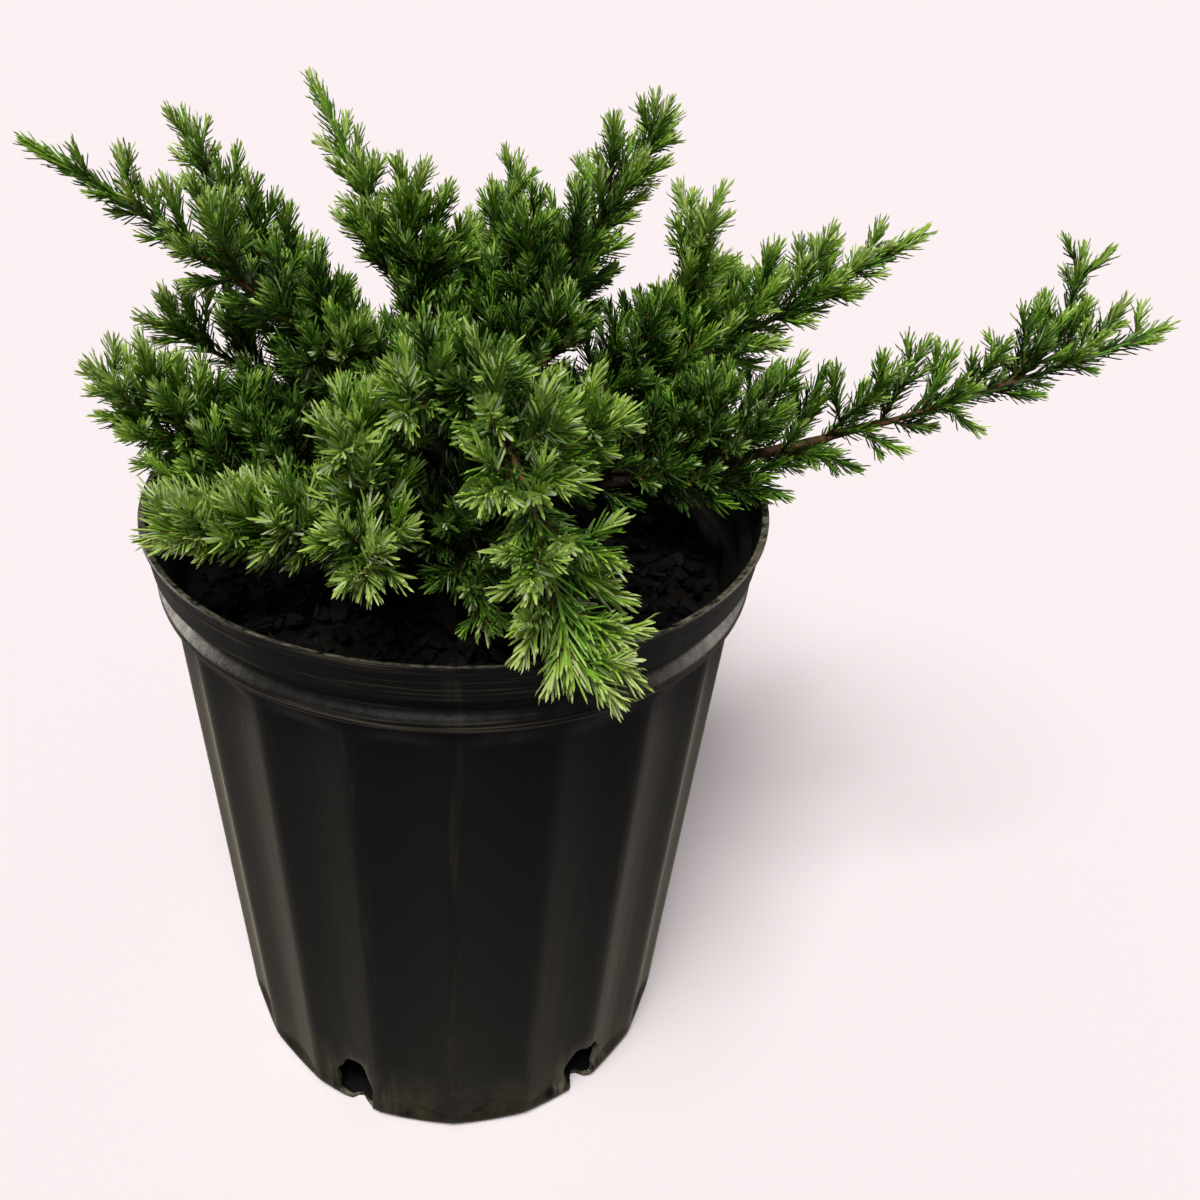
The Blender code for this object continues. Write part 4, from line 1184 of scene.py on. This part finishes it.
def mottled(name, settings):
    """A natural or worn surface: noise runs through its tints, roughens it and stands in relief."""
    look = MOTTLES[name]
    stops = [(place, tuple(getattr(settings, tint))) for tint, place in look.tints.items()]
    rows = (
        ("place", "TexCoord"),
        ("noise", "TexNoise", {"Scale": look.scale, "Detail": 6.0, "Roughness": 0.62},
         {"Vector": "place.Object"}),
        ("ramp", "ValToRGB", {"stops": stops}, {"Fac": "noise"}),
        ("dull", "MapRange", {"range": (0.0, 1.0, look.roughness - 0.12, look.roughness + 0.10)},
         {"Value": "noise"}),
        ("relief", "Bump", {"Strength": 0.6, "Distance": look.relief}, {"Height": "noise"}),
    )
    return new_material(name, stops[0][1], look.roughness, look.specular, rows,
                        {"Base Color": "ramp", "Roughness": "dull", "Normal": "relief"})


def pot_plastic(settings):
    """Black polyolefin, injection moulded: satin, with streaks where it flowed down the flutes, rubbed
    grey-brown along the arrises, paler along the bead in broken streaks as rubbing and painted highlight,
    scratched round the lip band, dusty at the foot, whitened beside the drain holes, and filmed with dust
    that shows where the wall turns away."""
    dust, rub, torn = ((*tint, 1.0) for tint in (settings.dust, settings.rub, settings.torn))
    rows = (
        ("place", "TexCoord"),
        ("axes", "SeparateXYZ", {}, {"Vector": "place.Object"}),
        ("angle", "Math", {"operation": "ARCTAN2"}, {0: "axes.Y", 1: "axes.X"}),
        ("turns", "Math", {**MULTIPLY, 1: 0.5 * FLUTES}, {0: "angle"}),
        ("wave", "Math", {"operation": "SINE"}, {0: "turns"}),
        ("fold", "Math", {"operation": "ABSOLUTE"}, {0: "wave"}),
        ("arris", "MapRange", {"range": (0.0, 0.42, 1.0, 0.0)}, {"Value": "fold"}),
        # Flow streaks 3 mm wide and 70 mm long, patches of 24 mm, smears of 8 mm, grit of 1 mm, and
        # scratches that run round the lip, drawn coarse enough to show at under a millimetre apart
        ("long_run", "Mapping", {"Scale": (300.0, 300.0, 14.0)}, {"Vector": "place.Object"}),
        ("streaks", "TexNoise", {"Scale": 1.0, "Detail": 5.0, "Roughness": 0.6}, {"Vector": "long_run"}),
        ("patches", "TexNoise", {"Scale": 42.0, "Detail": 4.0, "Roughness": 0.62},
         {"Vector": "place.Object"}),
        ("specks", "TexNoise", {"Scale": 900.0, "Detail": 2.0}, {"Vector": "place.Object"}),
        ("smears", "TexNoise", {"Scale": 130.0, "Detail": 6.0, "Roughness": 0.7},
         {"Vector": "place.Object"}),
        ("round_run", "Mapping", {"Scale": (26.0, 26.0, 1500.0)}, {"Vector": "place.Object"}),
        ("scratches", "TexNoise", {"Scale": 1.0, "Detail": 3.0}, {"Vector": "round_run"}),
        # Arrises rubbed in handling
        ("worn", "Math", MULTIPLY, {0: "arris", 1: "patches"}),
        ("streaked", "MapRange", {"range": (0.50, 0.75, 0.0, 0.60)}, {"Value": "streaks"}),
        ("rub", "Math", MULTIPLY, {0: "worn", 1: "streaked"}),
        ("rubbed", "Mix", {**COLOURS, 6: (*settings.plastic, 1.0), 7: rub}, {0: "rub"}),
        # Dried splashes round the foot
        ("low", "MapRange", {"range": (0.0, 0.028, 0.75, 0.0)}, {"Value": "axes.Z"}),
        ("dusty", "MapRange", {"range": (0.36, 0.76, 0.0, 1.0)}, {"Value": "smears"}),
        ("foot", "Math", MULTIPLY, {0: "low", 1: "dusty"}),
        ("foot_dust", "Math", MULTIPLY, {0: "foot", 1: "patches"}),
        ("dusted", "Mix", {**COLOURS, 7: dust}, {0: "foot_dust", 6: "rubbed.2"}),
        # Scratches round the lip band
        ("high", "MapRange", {"range": (POT_HEIGHT - BAND_HEIGHT - 0.010, POT_HEIGHT - BAND_HEIGHT,
                                        0.0, 1.0)}, {"Value": "axes.Z"}),
        ("scratched", "MapRange", {"range": (0.56, 0.68, 0.0, 0.50)}, {"Value": "scratches"}),
        ("lip", "Math", MULTIPLY, {0: "high", 1: "scratched"}),
        ("banded", "Mix", {**COLOURS, 7: rub}, {0: "lip", 6: "dusted.2"}),
        # The bead's ridge, paler in broken streaks: painted highlight, and chafing by its neighbours
        ("over_bead", "Math", {"operation": "SUBTRACT", 1: BEAD_HIGHLIGHT_AND_WEAR}, {0: "axes.Z"}),
        ("off_bead", "Math", {"operation": "ABSOLUTE"}, {0: "over_bead"}),
        ("ridge", "MapRange", {"range": (0.0, 0.0022, 1.0, 0.0)}, {"Value": "off_bead"}),
        ("chafed", "MapRange", {"range": (0.46, 0.60, 0.0, 0.9)}, {"Value": "scratches"}),
        ("bead", "Math", MULTIPLY, {0: "ridge", 1: "chafed"}),
        ("beaded", "Mix", {**COLOURS, 7: rub}, {0: "bead", 6: "banded.2"}),
        # Plastic whitened by stress beside the drain holes
        ("hole_turns", "Math", {"operation": "MULTIPLY_ADD", 1: DRAIN_HOLES,
                                2: -DRAIN_HOLES * DRAIN_FIRST_ANGLE}, {0: "angle"}),
        ("hole_wave", "Math", {"operation": "COSINE"}, {0: "hole_turns"}),
        ("at_hole", "MapRange", {"range": (0.30, 0.85, 0.0, 1.0)}, {"Value": "hole_wave"}),
        ("stressed", "MapRange", {"range": (0.47, 0.62, 0.0, 1.0)}, {"Value": "streaks"}),
        ("strained", "Math", MULTIPLY, {0: "at_hole", 1: "stressed"}),
        ("whitened", "Math", MULTIPLY, {0: "strained", 1: "low"}),
        ("finished", "Mix", {**COLOURS, 7: torn}, {0: "whitened", 6: "beaded.2"}),
        # Gloss: streaky, a little duller on the band and dull under dust; relief of flow and grit
        ("satin", "MapRange", {"range": (0.30, 0.75, 0.27, 0.52)}, {"Value": "streaks"}),
        ("rolled", "Math", {"operation": "MULTIPLY_ADD", 1: 0.08}, {0: "high", 2: "satin"}),
        ("dull", "Math", {"operation": "MULTIPLY_ADD", 1: 0.35}, {0: "foot_dust", 2: "rolled"}),
        ("flow", "Bump", {"Strength": 0.22, "Distance": 0.0006}, {"Height": "streaks"}),
        ("grit", "Bump", {"Strength": 0.20, "Distance": 0.0002}, {"Height": "specks", "Normal": "flow"}),
        ("film", "MapRange", {"range": (POT_HEIGHT - 0.022, POT_HEIGHT - 0.014, 0.48, 0.08)},
         {"Value": "axes.Z"}),
    )
    material = new_material("moulded_black_polyolefin", settings.plastic, 0.36, 0.36, rows,
                            {"Base Color": "finished.2", "Roughness": "dull", "Normal": "grit",
                             "Sheen Weight": "film"})
    shader = material.node_tree.nodes["Principled BSDF"]
    shader.inputs["Sheen Roughness"].default_value = 0.32
    shader.inputs["Sheen Tint"].default_value = (*settings.sheen, 1.0)
    return material


def needle_material(name, colour, roughness):
    """Live needle under its wax: plain colour, with a gloss that varies over about two millimetres."""
    rows = (
        ("place", "TexCoord"),
        ("noise", "TexNoise", {"Scale": 480.0, "Detail": 2.0}, {"Vector": "place.Object"}),
        ("wax", "MapRange", {"range": (0.30, 0.70, roughness - 0.10, roughness + 0.12)},
         {"Value": "noise"}),
    )
    return new_material(name, colour, roughness, 0.28, rows, {"Roughness": "wax"})


def needle_materials(settings):
    """The tones from the crown's inside to new growth, then the pale bands of old and young needles."""
    looks = [("needle_wax_" + tone, tone, 0.44) for tone in TONES]
    looks += [("needle_band_old", "old_band", 0.55), ("needle_band_young", "young_band", 0.50),
              ("needle_band_pale", "pale_band", 0.50)]
    return [needle_material(name, getattr(settings, tint), roughness) for name, tint, roughness in looks]


# ---------------------------------------------------------------- settings that a user would change

def colour_setting(name, code, description):
    """A colour button whose default is the linear colour of an sRGB hex code."""
    return bpy.props.FloatVectorProperty(name=name, description=description, subtype="COLOR", size=3,
                                         min=0.0, max=1.0, default=linear(code))


def size_setting(name, size, description):
    """A length in metres."""
    return bpy.props.FloatProperty(name=name, description=description, default=size, min=0.0,
                                   unit="LENGTH", precision=5)


class ConiferPotSettings(bpy.types.PropertyGroup):
    """Pot: wall, flutes and the tints of its plastic."""

    wall: size_setting("Wall", 0.0016, "Thickness of the moulded wall")
    flute_depth: size_setting("Flute depth", 0.0021, "How far each flute is pressed in")
    plastic: colour_setting("Plastic", "#0D0C0A", "Carbon-black polyolefin")
    # Rub marks also give the bead its painted highlight
    rub: colour_setting("Rub marks", "#6A6455", "Arrises and lip rubbed pale in handling")
    dust: colour_setting("Dust", "#7E7852", "Dried splashes round the foot")
    # Painted shade: the inside of the wall darker than the outside
    painted_inner_shade: colour_setting("Soiled wall", "#050403", "Inside of the wall, stained by wet mix")
    torn: colour_setting("Torn edge", "#8B8570", "Plastic whitened where it was cut or torn")
    sheen: colour_setting("Dust film", "#B0A994", "Film of dust that shows where the wall turns away")


class ConiferMixSettings(bpy.types.PropertyGroup):
    """Growing mix: its crumbs and its bark chips."""

    chip_count: bpy.props.IntProperty(name="Chips", description="Bark chips laid on the mix",
                                      default=1500, min=0)
    # Peat, fines and dry chips are all darkened as painted shade inside the pot
    dark: colour_setting("Peat", "#040302", "Damp peat between the chips")
    brown: colour_setting("Bark fines", "#0B0806", "Composted bark fines")
    tan: colour_setting("Dry chip", "#16100B", "Chips that have dried out")


class ConiferBarkSettings(bpy.types.PropertyGroup):
    """Bark of the trunk and boughs, and the wood of the twigs."""

    # Furrow, plate and weathered tints are darkened as painted shade inside the crown
    furrow: colour_setting("Furrow", "#1A0F0A", "Bottom of the bark's furrows")
    plate: colour_setting("Plate", "#301E15", "Red-brown bark plates")
    weathered: colour_setting("Weathered", "#3A3027", "Edges weathered to grey")
    twig: colour_setting("Young bark", "#86623A", "Smooth bark of the leafy stems")
    new_wood: colour_setting("New wood", "#7C8A3A", "Green wood of this year's growth")


class ConiferFoliageSettings(bpy.types.PropertyGroup):
    """Foliage: spacing and size of sprigs and needles, and the tones dealt out by sprig."""

    sprig_spacing: size_setting("Sprig spacing", 0.0035, "Mean step between sprigs on a shoot")
    sprig_length: size_setting("Sprig length", 0.0200, "Length of the lowest sprigs of a shoot")
    finer_spacing: size_setting("Finer spacing", 0.0040, "Mean step between twigs on a sprig")
    branching_length: size_setting("Branching length", 0.0105, "Sprigs longer than this branch again")
    whorl_spacing: size_setting("Whorl spacing", 0.00066, "Step between whorls of three needles")
    needle_length: size_setting("Needle length", 0.0059, "Length of a full-grown needle")
    needle_width: size_setting("Needle width", 0.00068, "Width of a needle at its middle")
    # The tones follow a sprig's place in the crown as well as its age: the darker stand partly for painted
    # shade inside, the paler partly for painted light outside
    inner: colour_setting("Inner", "#16200A", "Oldest needles, deep inside")
    shaded: colour_setting("Shaded", "#284013", "Older needles in shade")
    deep: colour_setting("Deep", "#426A1D", "Full-grown needles")
    leaf: colour_setting("Leaf", "#5D8F22", "Needles in good light")
    bright: colour_setting("Bright", "#80AE30", "Outer needles")
    young: colour_setting("Young", "#9FC444", "This year's needles")
    bud: colour_setting("Bud", "#C2D87C", "Tips and opening buds")
    old_band: colour_setting("Old band", "#648735", "Waxy upper face of old needles")
    # Pale band: thick wax, and painted highlight
    pale_band: colour_setting("Pale band", "#C4D1A2", "Thick wax on some of the needles")
    young_band: colour_setting("Young band", "#ACC95E", "Waxy upper face of young needles")


class ConiferStageSettings(bpy.types.PropertyGroup):
    """Stage: floor, surround and the strength of its soft lights."""

    floor: colour_setting("Floor", "#FBF1F2", "Plain pale floor")
    surround: bpy.props.FloatProperty(name="Surround", description="Brightness of the pale surround",
                                      default=0.12, min=0.0)
    sun: bpy.props.FloatProperty(name="Key", description="Strength of the broad key light",
                                 default=3.09, min=0.0)


# ---------------------------------------------------------------- operators

class CONIFER_OT_pot(bpy.types.Operator):
    """Make the fluted pot, its wall thickened inwards and its edges rounded"""

    bl_idname = "conifer.pot"
    bl_label = "Pot"

    def execute(self, context):
        settings = context.scene.conifer_pot
        plastics = [pot_plastic(settings), mottled("sheared_polyolefin_edge", settings),
                    mottled("inner_wall_with_painted_shade", settings)]
        piece = new_piece("pot_shell", pot_patch(settings), plastics)
        wall = piece.modifiers.new("wall", "SOLIDIFY")
        wall.thickness = settings.wall
        wall.offset = -1.0
        wall.material_offset_rim = 1
        # The inner shell takes the third finish: painted shade inside the pot
        wall.material_offset = 2
        edge = piece.modifiers.new("edge", "BEVEL")
        edge.limit_method = "ANGLE"
        edge.angle_limit = EDGE_ANGLE
        edge.width = EDGE_SHARE * settings.wall
        edge.segments = 2
        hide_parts("pot")
        return {"FINISHED"}


class CONIFER_OT_growing_mix(bpy.types.Operator):
    """Make the growing mix and the bark chips that lie on it"""

    bl_idname = "conifer.growing_mix"
    bl_label = "Growing mix"

    def execute(self, context):
        settings = context.scene.conifer_mix
        peat = mottled("damp_peat_and_bark", settings)
        piece = new_piece("growing_mix", mix_patch(context.scene.conifer_pot), [peat])
        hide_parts("soil")
        chips = [mottled(name, settings) for name in ("chip_damp", "chip_bark", "chip_dry")]
        new_piece("bark_chips", chip_patch(settings), chips, smooth=False)
        return {"FINISHED"}


class CONIFER_OT_bark(bpy.types.Operator):
    """Make the trunk and every bough, with the relief of their bark"""

    bl_idname = "conifer.bark"
    bl_label = "Bark"

    def execute(self, context):
        bark = mottled("scaly_red_brown_bark", context.scene.conifer_bark)
        stems, _ = plan_stems()
        piece = new_piece("trunk_bark", trunk_patch(stems["trunk"]), [bark])
        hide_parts("trunk")
        patches = [bough_patch(stems[shoot.parent], stems[name], shoot.place, shoot.bare + BOUGH_OVERLAP,
                               BOUGH_SEED + SEED_STEP * number)
                   for number, (name, shoot) in enumerate(SHOOTS.items())]
        piece = new_piece("bough_bark", joined(patches), [bark])
        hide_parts(*("bough_" + name for name in SHOOTS))
        return {"FINISHED"}


class CONIFER_OT_twigs(bpy.types.Operator):
    """Grow the leafy stems, sprigs and finer twigs of every mass"""

    bl_idname = "conifer.twigs"
    bl_label = "Twigs"

    def execute(self, context):
        settings = context.scene.conifer_bark
        woods = [mottled("young_twig_bark", settings), mottled("green_new_wood", settings)]
        patches = []
        for number, (name, stem, twigs, sprigs) in enumerate(plan_crown(context.scene.conifer_foliage)):
            seed = SEED_STEP * number
            patches.append(leader_patch(name, stem, SHOOTS[name].bare, LEADER_SEED + seed))
            patches += [leader_patch("", twig, 0.0, TWIG_SEED + seed) for twig in twigs]
            patches += [sprig_patch(sprig) for sprig in sprigs]
        new_piece("twigs", joined(patches), woods)
        return {"FINISHED"}


class CONIFER_OT_needles(bpy.types.Operator):
    """Clothe every mass with whorls of needles, one piece for each mass"""

    bl_idname = "conifer.needles"
    bl_label = "Needles"

    def execute(self, context):
        settings = context.scene.conifer_foliage
        materials = needle_materials(settings)
        for name, stem, twigs, sprigs in plan_crown(settings):
            patch = clothe_mass(name, stem, SHOOTS[name].bare, sprigs, twigs, settings)
            piece = new_piece("needles_" + name, patch, materials, smooth=False)
            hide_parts("foliage_" + name)
        return {"FINISHED"}


class CONIFER_OT_stage(bpy.types.Operator):
    """Set the pale floor, the soft lights and the camera"""

    bl_idname = "conifer.stage"
    bl_label = "Stage"

    def execute(self, context):
        settings = context.scene.conifer_stage
        mesh = bpy.data.meshes.new("floor")
        corners = [(x * FLOOR_SIDE, y * FLOOR_SIDE, FLOOR_LEVEL) for x, y in
                   ((-1, -1), (1, -1), (1, 1), (-1, 1))]
        mesh.from_pydata(corners, [], [(0, 1, 2, 3)])
        mesh.materials.append(new_material("matt_pale_floor", settings.floor, 0.9, 0.0))
        floor = put("floor", mesh)
        floor.visible_diffuse = False
        floor.visible_glossy = False
        world = bpy.data.worlds.new("pale_surround")
        world.use_nodes = True
        background = world.node_tree.nodes["Background"]
        background.inputs["Color"].default_value = (*settings.floor, 1.0)
        background.inputs["Strength"].default_value = settings.surround
        context.scene.world = world
        light = bpy.data.lights.new("key", "SUN")
        light.energy = settings.sun
        light.angle = math.radians(KEY_ANGLE)
        put("key", light, turn=Vector(KEY_FROM).to_track_quat("Z", "Y").to_euler())
        for name, place, width, height, power in STRIPS:
            light = bpy.data.lights.new(name, "AREA")
            light.shape = "RECTANGLE"
            light.size = width
            light.size_y = height
            light.energy = power
            light.color = STRIP_TINT
            aim = Vector(place) - Vector((0.0, 0.0, 0.5 * POT_HEIGHT))
            put(name, light, place, aim.to_track_quat("Z", "Y").to_euler()).visible_diffuse = False
        lens = bpy.data.cameras.new("camera")
        lens.lens = CAMERA_LENS
        lens.sensor_width = CAMERA_SENSOR
        lens.shift_x, lens.shift_y = CAMERA_SHIFT
        lens.clip_start = 0.01
        context.scene.camera = put("camera", lens, CAMERA_PLACE,
                                   (math.radians(90.0 - CAMERA_DIP), 0.0, 0.0))
        context.scene.view_settings.view_transform = "Standard"
        return {"FINISHED"}


class CONIFER_PT_panel(bpy.types.Panel):
    """Buttons that make each part of the plant, with the settings they read"""

    bl_idname = "CONIFER_PT_panel"
    bl_label = "Potted conifer"
    bl_space_type = "VIEW_3D"
    bl_region_type = "UI"
    bl_category = "Conifer"

    def draw(self, context):
        for operator, group in STEPS:
            box = self.layout.box()
            box.operator(operator.bl_idname)
            settings = getattr(context.scene, group)
            for name in settings.bl_rna.properties.keys():
                if name not in ("rna_type", "name"):
                    box.prop(settings, name)


GROUPS = {
    "conifer_pot": ConiferPotSettings,
    "conifer_mix": ConiferMixSettings,
    "conifer_bark": ConiferBarkSettings,
    "conifer_foliage": ConiferFoliageSettings,
    "conifer_stage": ConiferStageSettings,
}

STEPS = [
    (CONIFER_OT_pot, "conifer_pot"),
    (CONIFER_OT_growing_mix, "conifer_mix"),
    (CONIFER_OT_bark, "conifer_bark"),
    (CONIFER_OT_twigs, "conifer_bark"),
    (CONIFER_OT_needles, "conifer_foliage"),
    (CONIFER_OT_stage, "conifer_stage"),
]


def register():
    """Add the settings, the operators and the panel."""
    for name, group in GROUPS.items():
        bpy.utils.register_class(group)
        setattr(bpy.types.Scene, name, bpy.props.PointerProperty(type=group))
    for operator, _ in STEPS:
        bpy.utils.register_class(operator)
    bpy.utils.register_class(CONIFER_PT_panel)


def unregister():
    """Take away what register added."""
    bpy.utils.unregister_class(CONIFER_PT_panel)
    for operator, _ in reversed(STEPS):
        bpy.utils.unregister_class(operator)
    for name, group in reversed(GROUPS.items()):
        delattr(bpy.types.Scene, name)
        bpy.utils.unregister_class(group)


def main():
    """Make the plant and its stage."""
    register()
    bpy.ops.conifer.pot()
    bpy.ops.conifer.growing_mix()
    bpy.ops.conifer.bark()
    bpy.ops.conifer.twigs()
    bpy.ops.conifer.needles()
    bpy.ops.conifer.stage()


if __name__ == "__main__":
    main()
